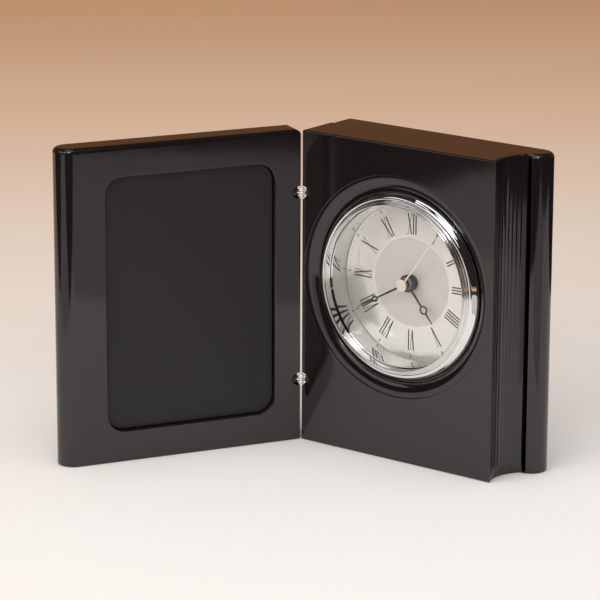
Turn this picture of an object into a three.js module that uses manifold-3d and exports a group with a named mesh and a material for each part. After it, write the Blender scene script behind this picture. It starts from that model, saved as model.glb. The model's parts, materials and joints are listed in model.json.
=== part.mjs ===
// Book clock: a lacquered wooden book that stands open on its foot. The thick half is a block of
// pages glued to a back cover and holds a round quartz clock insert. The thin half is the front
// cover with an engraving plate in a recess. Two barrel hinges join the halves at the spine.
// Millimetres, +Z up, the clock faces -Y, the origin is in the foot of the page block.
import * as THREE from "three";
import { mergeVertices } from "three/addons/utils/BufferGeometryUtils.js";
import Module from "manifold-3d";

const wasm = await Module();
wasm.setup();

// Driving dimensions of the book
const bookHeight = 133.4;
const pageWidth = 96;
const pageDepth = 19;
const coverWidth = 105.5;
const coverThickness = 13.2;
const openingAngle = THREE.MathUtils.degToRad(119);
const leafGap = 0.4;

// Clearances
const seatGap = 0.3;
const pressGap = 0.1;
const runningGap = 0.3;
const cutOverrun = 1;

// Edges of the wooden leaves
const spineRadius = 0.3;
const pageFlare = 2.3;
const pageHollowDepth = 3.05;
const pageGrooves = 10;
const grooveWidth = 0.8;
const grooveDepth = 0.45;

// Recess in the front cover and the plate in it
const recessSpineMargin = 11.6;
const recessForeMargin = 19.7;
const recessEndMargin = 13.2;
const recessDepth = 3.6;
const recessRadius = 7.5;
const plateThickness = 0.9;

// Barrel hinges
const hingeInset = 26.5;
const barrelRadius = 2.5;
const barrelStart = 3.4;
const barrelLength = 9;
const knuckleRadius = 1.3;
const knuckleHeight = 0.8;
const knuckleGap = 0.25;
const pinRadius = 0.6;
const pinHeadRadius = 1.2;
const pinHeadHeight = 0.8;

// Clock insert: place, front opening and radii
const clockRise = 7.3;
const bezelOpening = 34.3;
const bezelRadius = 39.7;
const lensLap = 0.7;
const lensThickness = 1.5;
const sleeveWall = 0.7;
const boreClearance = 0.5;
const reflectorLap = 1.1;
const reflectorWall = 0.8;
const caseWall = 1.1;
const dialLap = 1;
const gasketLength = 10;
const gasketClearance = 0.2;

// Clock insert: depths, counted from the wood's face into the wood
const rimHeight = 2.4;
const lipLength = 3;
const seatDepth = 3.4;
const sleeveLength = 2.9;
const reflectorLength = 8.2;
const dialThickness = 0.5;
const movementPlateThickness = 1;
const bridgeThickness = 0.5;
const backSpace = 1.1;
const caseBackThickness = 1;
const knobHeight = 1.8;
const boreRest = 0.9;

// Routed ring in the wood around the bezel
const ringRadius = 46.4;
const ringStep = 0.6;
const ringBead = 0.8;
const ringFootClearance = 0.5;

// Hands, nut and concentric pipes at the middle of the dial
const secondArborRadius = 0.5;
const pipeWall = 0.4;
const bushingWall = 0.5;
const nutWall = 0.8;
const nutThickness = 0.8;
const bushingStand = 0.3;
const handThickness = 0.3;
const handSpacing = 1.5;
const pipeStand = 0.3;
const hourHubWall = 1.8;
const handHubWall = 1.1;
const capRadius = 2.5;
const capThickness = 0.8;

// Hands: lengths and eyes counted from the middle of the dial
const hourHandLength = 19.9;
const hourEyeDistance = 12.9;
const hourEyeRadius = 1.9;
const hourEyeHoleRadius = 1.25;
const hourHandRoot = 1.1;
const hourHandNeck = 0.7;
const hourHandTip = 0.3;
const minuteHandLength = 26.8;
const minuteEyeDistance = 17.2;
const minuteEyeRadius = 1.4;
const minuteEyeHoleRadius = 0.9;
const minuteHandRoot = 1;
const minuteHandNeck = 0.6;
const minuteHandTip = 0.25;
const secondHandLength = 28.3;
const secondHandTail = 1.5;
const secondHandRoot = 0.5;
const secondHandTip = 0.25;

// Wheel train
const wheelThickness = 0.6;
const levelDepth = 1.2;
const pinionOverhang = 0.15;
const arborRadius = 0.4;
const pivotRadius = 0.25;
const pivotLength = 0.5;
const pivotClearance = 0.15;
const rotorModule = 0.25;
const secondModule = 0.33;
const thirdModule = 0.22;
const motionModule = 0.35;
const magnetRadius = 2.2;
const magnetLength = 2;
const statorThickness = 0.7;
const knobRadius = 3.5;

// Posts, cell and electric pieces
const plateEdge = 0.3;
const postInset = 6.5;
const postRadius = 1.3;
const screwRadius = 0.5;
const screwLength = 3;
const screwHeadRadius = 1.2;
const screwHeadHeight = 0.6;
const bridgeRim = 2.6;
const cellRadius = 5.8;
const cellThickness = 5.4;
const cellAcross = 14.5;
const cellBelow = 8;
const capWall = 0.7;
const coinSlotWidth = 1.2;
const coinSlotDepth = 0.5;
const boardWidth = 10;
const boardHeight = 13;
const boardThickness = 0.8;
const boardAcross = 17;
const boardAbove = 7;
const chipSide = 3;
const chipHeight = 0.9;
const crystalRadius = 1;
const crystalLength = 6;
const contactThickness = 0.3;
const contactWidth = 1.6;
const coilAcross = 17;
const coilRadius = 2.2;
const coilLength = 13;
const coilWall = 0.9;
const coreWidth = 1.8;
const coreThickness = 0.7;
const statorPad = 4.6;
const statorArm = 2.4;

// Teeth and bearings of the wheel train
const rotorTeeth = 8;
const intermediateTeeth = 48;
const intermediatePinionTeeth = 8;
const secondTeeth = 40;
const secondPinionTeeth = 8;
const thirdTeeth = 64;
const thirdPinionTeeth = 8;
const centreTeeth = 60;
const cannonTeeth = 12;
const minuteTeeth = 36;
const minutePinionTeeth = 10;
const hourTeeth = 40;
const hourLevel = 0;
const cannonLevel = 1;
const centreLevel = 2;
const thirdLevel = 3;
const secondLevel = 4;
const rotorLevel = 5;
const addendumShare = 0.8;
const dedendumShare = 1.15;
const toothRootShare = 0.56;
const toothTipShare = 0.2;
const intermediateBearing = THREE.MathUtils.degToRad(10);
const rotorBearing = THREE.MathUtils.degToRad(60);
const thirdBearing = THREE.MathUtils.degToRad(120);
const minuteBearing = THREE.MathUtils.degToRad(-90);
const postBearings = [100, 200, 300].map(THREE.MathUtils.degToRad);

// Time shown by the hands, as in the photograph
const shownHour = 4;
const shownMinute = 40.1;
const shownSecond = 6;

// Sides of round pieces and steps of arcs
const wideSides = 48;
const smallSides = 16;
const pivotSides = 8;
const cornerSteps = 4;
const noseSteps = 20;
const coveSteps = 6;

// Sizes that follow from the driving dimensions
const blockDepth = pageDepth + coverThickness;
const blockFront = -blockDepth / 2;
const coverJoint = blockFront + pageDepth;
const foldX = -pageWidth / 2 - leafGap / 2;
const foldY = blockFront - leafGap / 2;
const hingeHeights = { lower: hingeInset, upper: bookHeight - hingeInset };
const clockHeight = bookHeight / 2 + clockRise;

const lensRadius = bezelOpening + lensLap;
const pocketRadius = lensRadius + seatGap;
const sleeveRadius = pocketRadius + sleeveWall;
const boreRadius = sleeveRadius + boreClearance;
const reflectorInner = bezelOpening - reflectorLap;
const reflectorOuter = reflectorInner + reflectorWall;
const caseInner = reflectorOuter + seatGap;
const caseRadius = caseInner + caseWall;
const dialRadius = caseInner - seatGap;
const ledgeRadius = dialRadius - dialLap;
const movementRadius = ledgeRadius - plateEdge;

const flangeBack = seatDepth - seatGap;
const pocketFront = lipLength - rimHeight;
const lensFront = pocketFront + seatGap;
const reflectorFront = lensFront + lensThickness + seatGap;
const dialFront = reflectorFront + reflectorLength + seatGap;
const dialBack = dialFront + dialThickness;
const plateFront = dialBack + seatGap;
const plateBack = plateFront + movementPlateThickness;
const trainFront = plateBack + runningGap;
const trainBack = trainFront + rotorLevel * levelDepth + wheelThickness;
const postBack = trainBack + 2 * runningGap;
const bridgeFront = postBack + seatGap;
const bridgeBack = bridgeFront + bridgeThickness;
const caseBackFront = bridgeBack + backSpace;
const caseBackEnd = caseBackFront + caseBackThickness;
const knobFront = caseBackEnd + seatGap;
const knobEnd = knobFront + knobHeight;
const boreDepth = knobEnd + boreRest;

const cannonInner = secondArborRadius + runningGap;
const cannonOuter = cannonInner + pipeWall;
const hourPipeInner = cannonOuter + runningGap;
const hourPipeOuter = hourPipeInner + pipeWall;
const bushingInner = hourPipeOuter + runningGap;
const bushingOuter = bushingInner + bushingWall;
const dialHole = bushingOuter + seatGap;

const nutFront = dialFront - seatGap - nutThickness;
const bushingFront = nutFront - bushingStand;
const hourHandFront = bushingFront - handSpacing - handThickness;
const minuteHandFront = hourHandFront - handSpacing - handThickness;
const secondHandFront = minuteHandFront - handSpacing - handThickness;
const capFront = secondHandFront - pressGap - capThickness;

// Looks of the pieces
const looks = {
  lacquer: { color: 0x14100f, roughness: 0.12, metalness: 0 },
  plate: { color: 0x2a2825, roughness: 0.35, metalness: 0.3 },
  nickel: { color: 0xd8d8d4, roughness: 0.18, metalness: 1 },
  chrome: { color: 0xe8e8e8, roughness: 0.05, metalness: 1 },
  mirror: { color: 0xdedede, roughness: 0.03, metalness: 1 },
  lens: { color: 0xffffff, roughness: 0, metalness: 0, transparent: true, opacity: 0.15 },
  dial: { color: 0xc9c9c6, roughness: 0.35, metalness: 0.8 },
  blackened: { color: 0x0c0c0c, roughness: 0.4, metalness: 0.4 },
  plastic: { color: 0x1d1d1e, roughness: 0.55, metalness: 0 },
  rubber: { color: 0x121212, roughness: 0.9, metalness: 0 },
  cream: { color: 0xd9c3ae, roughness: 0.4, metalness: 0.2 },
  whitened: { color: 0xe6e4dc, roughness: 0.4, metalness: 0.2 },
  brass: { color: 0xc9a24d, roughness: 0.3, metalness: 1 },
  copper: { color: 0xb4602f, roughness: 0.4, metalness: 0.9 },
  iron: { color: 0x8c8d90, roughness: 0.4, metalness: 0.9 },
  board: { color: 0x1f5a35, roughness: 0.6, metalness: 0 },
};

// Turns a closed geometry into a solid that can be joined and cut.
function solid(geometry) {
  const bare = geometry.clone();
  bare.deleteAttribute("normal");
  bare.deleteAttribute("uv");
  const merged = mergeVertices(bare);
  return new wasm.Manifold(
    new wasm.Mesh({
      numProp: 3,
      vertProperties: merged.attributes.position.array,
      triVerts: new Uint32Array(merged.index.array),
    }),
  );
}

// Makes a named mesh from a solid.
function piece(name, shape, look) {
  const { vertProperties, triVerts } = shape.getMesh();
  const geometry = new THREE.BufferGeometry();
  geometry.setAttribute("position", new THREE.BufferAttribute(vertProperties, 3));
  geometry.setIndex(new THREE.BufferAttribute(triVerts, 1));
  geometry.computeVertexNormals();
  const mesh = new THREE.Mesh(geometry, new THREE.MeshStandardMaterial(look));
  mesh.name = name;
  return mesh;
}

function vectors(points) {
  return points.map(([across, along]) => new THREE.Vector2(across, along));
}

function polar(radius, angle) {
  return [radius * Math.cos(angle), radius * Math.sin(angle)];
}

// Points of an arc, ends included.
function arc([x, y], radius, from, to, steps) {
  const points = [];
  for (let step = 0; step <= steps; step += 1) {
    const [across, along] = polar(radius, from + ((to - from) * step) / steps);
    points.push([x + across, y + along]);
  }
  return points;
}

// A solid turned about the depth axis from a profile of [radius, depth] points.
function turned(profile, sides) {
  return solid(new THREE.LatheGeometry(vectors(profile), sides));
}

function disc(radius, front, back, sides) {
  return turned([[0, front], [radius, front], [radius, back], [0, back]], sides);
}

function ring(inner, outer, front, back, sides) {
  return turned([[inner, front], [outer, front], [outer, back], [inner, back], [inner, front]], sides);
}

// A flat piece whose outline is seen from the front, from one depth to another.
function flat(shape, front, back) {
  const geometry = new THREE.ExtrudeGeometry(shape, { depth: back - front, bevelEnabled: false });
  geometry.rotateX(Math.PI / 2);
  geometry.translate(0, back, 0);
  return solid(geometry);
}

// A piece of full book height whose outline is seen from above.
function upright(points, height) {
  const shape = new THREE.Shape(vectors(points));
  return solid(new THREE.ExtrudeGeometry(shape, { depth: height, bevelEnabled: false }));
}

function bar(left, right, front, back, foot, top) {
  const outline = [[left, foot], [right, foot], [right, top], [left, top]];
  return flat(new THREE.Shape(vectors(outline)), front, back);
}

function roundedRectangle(width, height, radius) {
  const right = width / 2 - radius;
  const top = height / 2 - radius;
  const quarter = Math.PI / 2;
  const shape = new THREE.Shape();
  shape.absarc(right, top, radius, 0, quarter);
  shape.absarc(-right, top, radius, quarter, 2 * quarter);
  shape.absarc(-right, -top, radius, 2 * quarter, 3 * quarter);
  shape.absarc(right, -top, radius, 3 * quarter, 4 * quarter);
  return shape;
}

// Wooden leaves

// How far the page edge lies from the middle of the block at a depth behind the front face.
function pageEdge(depth) {
  const depthShare = depth / pageDepth;
  const bowShare = 4 * depthShare * (1 - depthShare);
  return pageWidth / 2 + pageFlare * depthShare - pageHollowDepth * bowShare;
}

function pageOutline() {
  const corner = [spineRadius - pageWidth / 2, blockFront + spineRadius];
  const points = arc(corner, spineRadius, Math.PI, 1.5 * Math.PI, cornerSteps);
  points.push([pageEdge(0), blockFront]);
  for (let groove = 1; groove <= pageGrooves; groove += 1) {
    const depth = (pageDepth * groove) / (pageGrooves + 1);
    const near = depth - grooveWidth / 2;
    const far = depth + grooveWidth / 2;
    points.push([pageEdge(near), blockFront + near]);
    points.push([pageEdge(depth) - grooveDepth, blockFront + depth]);
    points.push([pageEdge(far), blockFront + far]);
  }
  points.push([pageEdge(pageDepth), coverJoint]);
  points.push([-pageWidth / 2, coverJoint]);
  return points;
}

// A cover seen from above, from its spine edge at the origin to its rounded fore-edge. Its inner
// face lies on the X axis and its outer face on the side that outward names.
function coverOutline(outward, innerRadius) {
  const nose = coverThickness / 2;
  const points = [];
  if (innerRadius > 0) {
    points.push(...arc([innerRadius, innerRadius], innerRadius, Math.PI, 1.5 * Math.PI, cornerSteps));
  } else {
    points.push([0, 0]);
  }
  points.push(...arc([coverWidth - nose, nose], nose, -Math.PI / 2, Math.PI / 2, noseSteps));
  const outer = [spineRadius, coverThickness - spineRadius];
  points.push(...arc(outer, spineRadius, Math.PI / 2, Math.PI, cornerSteps));
  return points.map(([across, along]) => [across, outward * along]);
}

// The round hole for the insert, with the seat for its bezel and the moulded ring around it.
function insertCutter() {
  const footRadius = bezelRadius + ringFootClearance;
  const topRadius = ringRadius - ringBead;
  const profile = [[0, -cutOverrun], [ringRadius, -cutOverrun]];
  profile.push([ringRadius, ringStep], [topRadius, ringStep]);
  for (let step = 1; step <= coveSteps; step += 1) {
    const angle = (Math.PI / 2) * (step / coveSteps);
    const across = footRadius + (topRadius - footRadius) * (1 - Math.sin(angle));
    const along = ringStep + (seatDepth - ringStep) * (1 - Math.cos(angle));
    profile.push([across, along]);
  }
  profile.push([boreRadius, seatDepth], [boreRadius, boreDepth], [0, boreDepth]);
  return turned(profile, wideSides).translate(0, blockFront, clockHeight);
}

// The round hole that a hinge barrel sits in, along the diagonal of a leaf's corner.
function barrelCutter(bearing) {
  const length = barrelStart + barrelLength + seatGap;
  const hole = new THREE.CylinderGeometry(barrelRadius + seatGap, barrelRadius + seatGap, length, smallSides);
  hole.rotateZ(-Math.PI / 2);
  hole.translate(length / 2, 0, 0);
  hole.rotateZ(bearing);
  return solid(hole);
}

function pageBlock() {
  let shape = upright(pageOutline(), bookHeight).subtract(insertCutter());
  for (const height of Object.values(hingeHeights)) {
    shape = shape.subtract(barrelCutter(Math.PI / 4).translate(foldX, foldY, height));
  }
  return piece("page_block", shape, looks.lacquer);
}

function backCover() {
  const shape = upright(coverOutline(1, 0), bookHeight).translate(-pageWidth / 2, coverJoint, 0);
  return piece("back_cover", shape.subtract(insertCutter()), looks.lacquer);
}

// Sizes of the recess, seen on the closed cover from its spine edge
const recessWidth = coverWidth - recessSpineMargin - recessForeMargin;
const recessHeight = bookHeight - 2 * recessEndMargin;
const recessAcross = leafGap / 2 + recessSpineMargin + recessWidth / 2;
const recessFloor = -leafGap / 2 - recessDepth;

function frontCover() {
  let shape = upright(coverOutline(-1, spineRadius), bookHeight).translate(leafGap / 2, -leafGap / 2, 0);
  const recess = roundedRectangle(recessWidth, recessHeight, recessRadius);
  const cutter = flat(recess, recessFloor, cutOverrun);
  shape = shape.subtract(cutter.translate(recessAcross, 0, bookHeight / 2));
  for (const height of Object.values(hingeHeights)) {
    shape = shape.subtract(barrelCutter(-Math.PI / 4).translate(0, 0, height));
  }
  return piece("front_cover", shape, looks.lacquer);
}

function engravingPlate() {
  const inset = 2 * seatGap;
  const outline = roundedRectangle(recessWidth - inset, recessHeight - inset, recessRadius - seatGap);
  const back = recessFloor + seatGap;
  const shape = flat(outline, back, back + plateThickness);
  return piece("engraving_plate", shape.translate(recessAcross, 0, bookHeight / 2), looks.plate);
}

// Hinges: the block half has two plates, the cover half one plate between them

function knucklePlate(foot, top) {
  const straight = barrelStart + barrelRadius;
  const outline = [...arc([0, 0], knuckleRadius, Math.PI / 2, 1.5 * Math.PI, smallSides / 2)];
  outline.push([straight, -knuckleRadius], [straight, knuckleRadius]);
  return upright(outline, top - foot).translate(0, 0, foot);
}

function pinHole(height) {
  const radius = pinRadius + pressGap;
  const hole = new THREE.CylinderGeometry(radius, radius, height, smallSides).rotateX(Math.PI / 2);
  return solid(hole);
}

function hingeHalf(name, bearing, plates) {
  const body = new THREE.CylinderGeometry(barrelRadius, barrelRadius, barrelLength, smallSides);
  body.rotateZ(-Math.PI / 2);
  body.translate(barrelStart + barrelLength / 2, 0, 0);
  let shape = solid(body);
  for (const [foot, top] of plates) {
    shape = shape.add(knucklePlate(foot, top));
  }
  shape = shape.subtract(pinHole(4 * barrelRadius));
  return piece(name, shape.rotate(0, 0, THREE.MathUtils.radToDeg(bearing)), looks.nickel);
}

const middleTop = knuckleHeight / 2;
const outerFoot = middleTop + knuckleGap;
const outerTop = outerFoot + knuckleHeight;

function hingeBlockHalf(name) {
  return hingeHalf(name, Math.PI / 4, [[-outerTop, -outerFoot], [outerFoot, outerTop]]);
}

function hingeCoverHalf(name) {
  return hingeHalf(name, -Math.PI / 4, [[-middleTop, middleTop]]);
}

function hingePin(name) {
  const headFoot = outerTop + pressGap;
  const headTop = headFoot + pinHeadHeight;
  const shoulder = headTop - pinHeadHeight / 2;
  const edge = pinHeadRadius - pinHeadHeight / 2;
  const profile = [
    [0, -headTop],
    [edge, -headTop],
    [pinHeadRadius, -shoulder],
    [pinHeadRadius, -headFoot],
    [pinRadius, -headFoot],
    [pinRadius, headFoot],
    [pinHeadRadius, headFoot],
    [pinHeadRadius, shoulder],
    [edge, headTop],
    [0, headTop],
  ];
  return piece(name, turned(profile, smallSides).rotate(90, 0, 0), looks.nickel);
}

// Clock insert: the pieces that frame the dial

function bezelRing() {
  const slope = bezelRadius - bezelOpening;
  const rise = flangeBack + rimHeight;
  // Shares of the slope outwards from the opening and of the rise back from the crest
  const crossShares = [
    [0, 0.04],
    [0.04, 0],
    [0.11, 0],
    [0.17, 0.05],
    [0.19, 0.2],
    [0.25, 0.33],
    [0.36, 0.4],
    [0.54, 0.45],
    [0.72, 0.53],
    [0.87, 0.66],
    [0.96, 0.81],
    [1, 0.91],
    [1, 1],
  ];
  const profile = crossShares.map(([out, back]) => [bezelOpening + slope * out, rise * back - rimHeight]);
  const sleeveBack = flangeBack + sleeveLength;
  profile.push([sleeveRadius, flangeBack], [sleeveRadius, sleeveBack], [pocketRadius, sleeveBack]);
  profile.push([pocketRadius, pocketFront], [bezelOpening, pocketFront], profile[0]);
  return piece("bezel_ring", turned(profile, wideSides), looks.chrome);
}

function lens() {
  return piece("lens", disc(lensRadius, lensFront, lensFront + lensThickness, wideSides), looks.lens);
}

function reflectorRing() {
  const back = reflectorFront + reflectorLength;
  const flangeEnd = reflectorFront + reflectorWall;
  const profile = [
    [reflectorInner, reflectorFront],
    [lensRadius, reflectorFront],
    [lensRadius, flangeEnd],
    [reflectorOuter, flangeEnd],
    [reflectorOuter, back],
    [reflectorInner, back],
    [reflectorInner, reflectorFront],
  ];
  return piece("reflector_ring", turned(profile, wideSides), looks.mirror);
}

function dial() {
  return piece("dial", ring(dialHole, dialRadius, dialFront, dialBack, wideSides), looks.dial);
}

function dialNut() {
  const hole = bushingOuter + pressGap;
  const shape = ring(hole, bushingOuter + nutWall, nutFront, dialFront - seatGap, smallSides);
  return piece("dial_nut", shape, looks.blackened);
}

// Places in the insert, seen from the front as [across, up]
const intermediateDistance = (secondModule * (secondTeeth + intermediatePinionTeeth)) / 2;
const rotorDistance = (rotorModule * (intermediateTeeth + rotorTeeth)) / 2;
const thirdDistance = (thirdModule * (secondPinionTeeth + thirdTeeth)) / 2;
const minuteDistance = (motionModule * (cannonTeeth + minuteTeeth)) / 2;
const centreModule = (2 * thirdDistance) / (thirdPinionTeeth + centreTeeth);
const hourModule = (2 * minuteDistance) / (minutePinionTeeth + hourTeeth);
const middle = [0, 0];
const intermediatePlace = polar(intermediateDistance, intermediateBearing);
const rotorStep = polar(rotorDistance, rotorBearing);
const rotorPlace = [intermediatePlace[0] + rotorStep[0], intermediatePlace[1] + rotorStep[1]];
const thirdPlace = polar(thirdDistance, thirdBearing);
const minutePlace = polar(minuteDistance, minuteBearing);
const cellPlace = [-cellAcross, -cellBelow];
const postCircle = movementRadius - postInset;
const postPlaces = postBearings.map((bearing) => polar(postCircle, bearing));

function put(shape, [across, up]) {
  return shape.translate(across, 0, up);
}

function insertCase() {
  const front = flangeBack + sleeveLength + seatGap;
  const profile = [
    [caseInner, front],
    [caseRadius, front],
    [caseRadius, caseBackEnd],
    [0, caseBackEnd],
    [0, caseBackFront],
    [ledgeRadius, caseBackFront],
    [ledgeRadius, plateFront],
    [caseInner, plateFront],
    [caseInner, front],
  ];
  const back = caseBackEnd + cutOverrun;
  const knobHole = disc(arborRadius + 2 * runningGap, plateFront, back, smallSides);
  const capHole = disc(cellRadius + capWall + seatGap, plateFront, back, smallSides);
  let shape = turned(profile, wideSides);
  shape = shape.subtract(put(knobHole, minutePlace));
  shape = shape.subtract(put(capHole, cellPlace));
  return piece("insert_case", shape, looks.plastic);
}

function gasketRing() {
  const outer = boreRadius - gasketClearance;
  const shape = ring(caseRadius + pressGap, outer, plateFront, plateFront + gasketLength, wideSides);
  return piece("gasket_ring", shape, looks.rubber);
}

function batteryCap() {
  const radius = cellRadius + capWall;
  const slotFront = caseBackEnd - coinSlotDepth;
  const slot = bar(-radius / 2, radius / 2, slotFront, knobEnd, -coinSlotWidth / 2, coinSlotWidth / 2);
  const shape = disc(radius, caseBackFront, caseBackEnd, smallSides).subtract(slot);
  return piece("battery_cap", put(shape, cellPlace), looks.plastic);
}

// Movement: two round plates on posts with the wheels between them

const pivotHole = pivotRadius + pivotClearance;
const trainPlaces = [intermediatePlace, rotorPlace, thirdPlace];

function movementPlate() {
  const bushing = disc(bushingOuter, bushingFront, plateBack, smallSides);
  let shape = disc(movementRadius, plateFront, plateBack, wideSides).add(bushing);
  for (const place of postPlaces) {
    shape = shape.add(put(disc(postRadius, plateFront, postBack, smallSides), place));
    const threadFront = postBack - screwLength - seatGap;
    const thread = disc(screwRadius + pressGap, threadFront, postBack + cutOverrun, pivotSides);
    shape = shape.subtract(put(thread, place));
  }
  for (const place of [...trainPlaces, minutePlace]) {
    const hole = disc(pivotHole, plateFront - cutOverrun, plateBack + cutOverrun, pivotSides);
    shape = shape.subtract(put(hole, place));
  }
  shape = shape.subtract(disc(bushingInner, bushingFront - cutOverrun, plateBack + cutOverrun, smallSides));
  return piece("movement_plate", shape, looks.plastic);
}

function trainBridge() {
  const start = bridgeFront - cutOverrun;
  const end = bridgeBack + cutOverrun;
  let shape = disc(postCircle + bridgeRim, bridgeFront, bridgeBack, wideSides);
  for (const place of [...trainPlaces, middle]) {
    shape = shape.subtract(put(disc(pivotHole, start, end, pivotSides), place));
  }
  for (const place of postPlaces) {
    shape = shape.subtract(put(disc(screwRadius + pressGap, start, end, pivotSides), place));
  }
  shape = shape.subtract(put(disc(arborRadius + pivotClearance, start, end, pivotSides), minutePlace));
  shape = shape.subtract(put(disc(cellRadius + capWall + seatGap, start, end, smallSides), cellPlace));
  return piece("train_bridge", shape, looks.plastic);
}

function bridgeScrew(index) {
  const headFront = bridgeBack + pressGap;
  const shank = disc(screwRadius, postBack - screwLength, headFront + screwHeadHeight, pivotSides);
  const head = disc(screwHeadRadius, headFront, headFront + screwHeadHeight, pivotSides);
  return piece(`bridge_screw_${index + 1}`, put(shank.add(head), postPlaces[index]), looks.nickel);
}

// Toothed wheels

function gearOutline(teeth, module, phase) {
  const radius = (teeth * module) / 2;
  const tip = radius + addendumShare * module;
  const root = radius - dedendumShare * module;
  const pitch = (2 * Math.PI) / teeth;
  const points = [];
  for (let tooth = 0; tooth < teeth; tooth += 1) {
    const centre = phase + tooth * pitch;
    const rootHalf = (pitch * toothRootShare) / 2;
    const tipHalf = (pitch * toothTipShare) / 2;
    points.push(polar(root, centre - rootHalf), polar(tip, centre - tipHalf));
    points.push(polar(tip, centre + tipHalf), polar(root, centre + rootHalf));
  }
  return new THREE.Shape(vectors(points));
}

function levelFront(level) {
  return trainFront + level * levelDepth;
}

function wheel(teeth, module, phase, level) {
  const front = levelFront(level);
  return flat(gearOutline(teeth, module, phase), front, front + wheelThickness);
}

function pinion(teeth, module, phase, level) {
  const front = levelFront(level) - pinionOverhang;
  const back = levelFront(level) + wheelThickness + pinionOverhang;
  return flat(gearOutline(teeth, module, phase), front, back);
}

// Phase of a gear whose teeth fall in the gaps of its neighbour. The bearing points from the
// neighbour to the gear.
function meshPhase(neighbourPhase, neighbourTeeth, teeth, bearing) {
  const turn = (neighbourTeeth / teeth) * (neighbourPhase - bearing);
  return bearing + Math.PI - turn - Math.PI / teeth;
}

// A plain arbor between the plates with a thin pivot at each end.
function arbor() {
  const front = plateBack + pressGap;
  const back = bridgeFront - pressGap;
  const body = disc(arborRadius, front, back, pivotSides);
  return body.add(disc(pivotRadius, front - pivotLength, back + pivotLength, pivotSides));
}

function secondWheel() {
  const back = bridgeFront - pressGap;
  const body = disc(secondArborRadius, secondHandFront, back, smallSides);
  const pivot = disc(pivotRadius, back - pivotLength, back + pivotLength, pivotSides);
  const teeth = wheel(secondTeeth, secondModule, 0, secondLevel);
  const drive = pinion(secondPinionTeeth, thirdModule, 0, thirdLevel);
  return piece("second_wheel", body.add(pivot).add(teeth).add(drive), looks.brass);
}

function centreWheel() {
  const phase = meshPhase(0, thirdPinionTeeth, centreTeeth, thirdBearing + Math.PI);
  const pipeFront = minuteHandFront - pipeStand;
  const back = levelFront(centreLevel) + wheelThickness;
  const pipe = disc(cannonOuter, pipeFront, back, smallSides);
  const drive = pinion(cannonTeeth, motionModule, 0, cannonLevel);
  const teeth = wheel(centreTeeth, centreModule, phase, centreLevel).add(drive);
  const bore = disc(cannonInner, pipeFront - cutOverrun, back + cutOverrun, smallSides);
  return piece("centre_wheel", pipe.add(teeth).subtract(bore), looks.brass);
}

function hourWheel() {
  const phase = meshPhase(0, minutePinionTeeth, hourTeeth, minuteBearing + Math.PI);
  const pipeFront = hourHandFront - pipeStand;
  const back = levelFront(hourLevel) + wheelThickness;
  const pipe = disc(hourPipeOuter, pipeFront, back, smallSides);
  const bore = disc(hourPipeInner, pipeFront - cutOverrun, back + cutOverrun, smallSides);
  const teeth = wheel(hourTeeth, hourModule, phase, hourLevel);
  return piece("hour_wheel", pipe.add(teeth).subtract(bore), looks.brass);
}

function minuteWheel() {
  const phase = meshPhase(0, cannonTeeth, minuteTeeth, minuteBearing);
  const front = plateBack + pressGap;
  const body = disc(arborRadius, front, knobEnd, pivotSides);
  const pivot = disc(pivotRadius, front - pivotLength, front + pivotLength, pivotSides);
  const drive = pinion(minutePinionTeeth, hourModule, 0, hourLevel);
  const teeth = wheel(minuteTeeth, motionModule, phase, cannonLevel).add(drive);
  return piece("minute_wheel", put(body.add(pivot).add(teeth), minutePlace), looks.brass);
}

function settingKnob() {
  const shape = ring(arborRadius + pressGap, knobRadius, knobFront, knobEnd, smallSides);
  return piece("setting_knob", put(shape, minutePlace), looks.plastic);
}

function thirdWheel() {
  const phase = meshPhase(0, secondPinionTeeth, thirdTeeth, thirdBearing);
  const drive = pinion(thirdPinionTeeth, centreModule, 0, centreLevel);
  const teeth = wheel(thirdTeeth, thirdModule, phase, thirdLevel).add(drive);
  return piece("third_wheel", put(arbor().add(teeth), thirdPlace), looks.brass);
}

function intermediateWheel() {
  const phase = meshPhase(0, secondTeeth, intermediatePinionTeeth, intermediateBearing);
  const drive = pinion(intermediatePinionTeeth, secondModule, phase, secondLevel);
  const teeth = wheel(intermediateTeeth, rotorModule, 0, rotorLevel).add(drive);
  return piece("intermediate_wheel", put(arbor().add(teeth), intermediatePlace), looks.brass);
}

const magnetFront = levelFront(centreLevel);
const magnetBack = magnetFront + magnetLength;

function rotorPinion() {
  const phase = meshPhase(0, intermediateTeeth, rotorTeeth, rotorBearing);
  const shape = arbor().add(pinion(rotorTeeth, rotorModule, phase, rotorLevel));
  return piece("rotor_pinion", put(shape, rotorPlace), looks.brass);
}

function rotorMagnet() {
  const shape = ring(arborRadius + pressGap, magnetRadius, magnetFront, magnetBack, smallSides);
  return piece("rotor_magnet", put(shape, rotorPlace), looks.iron);
}

// Motor: stator plate around the magnet, its two arms, the core strip and the coil on it

const statorFront = (magnetFront + magnetBack - statorThickness) / 2;
const statorBack = statorFront + statorThickness;
const coreFront = statorBack + seatGap;
const coilTop = rotorPlace[1] - statorPad - statorArm - seatGap;
const coilFoot = coilTop - coilLength;

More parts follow.
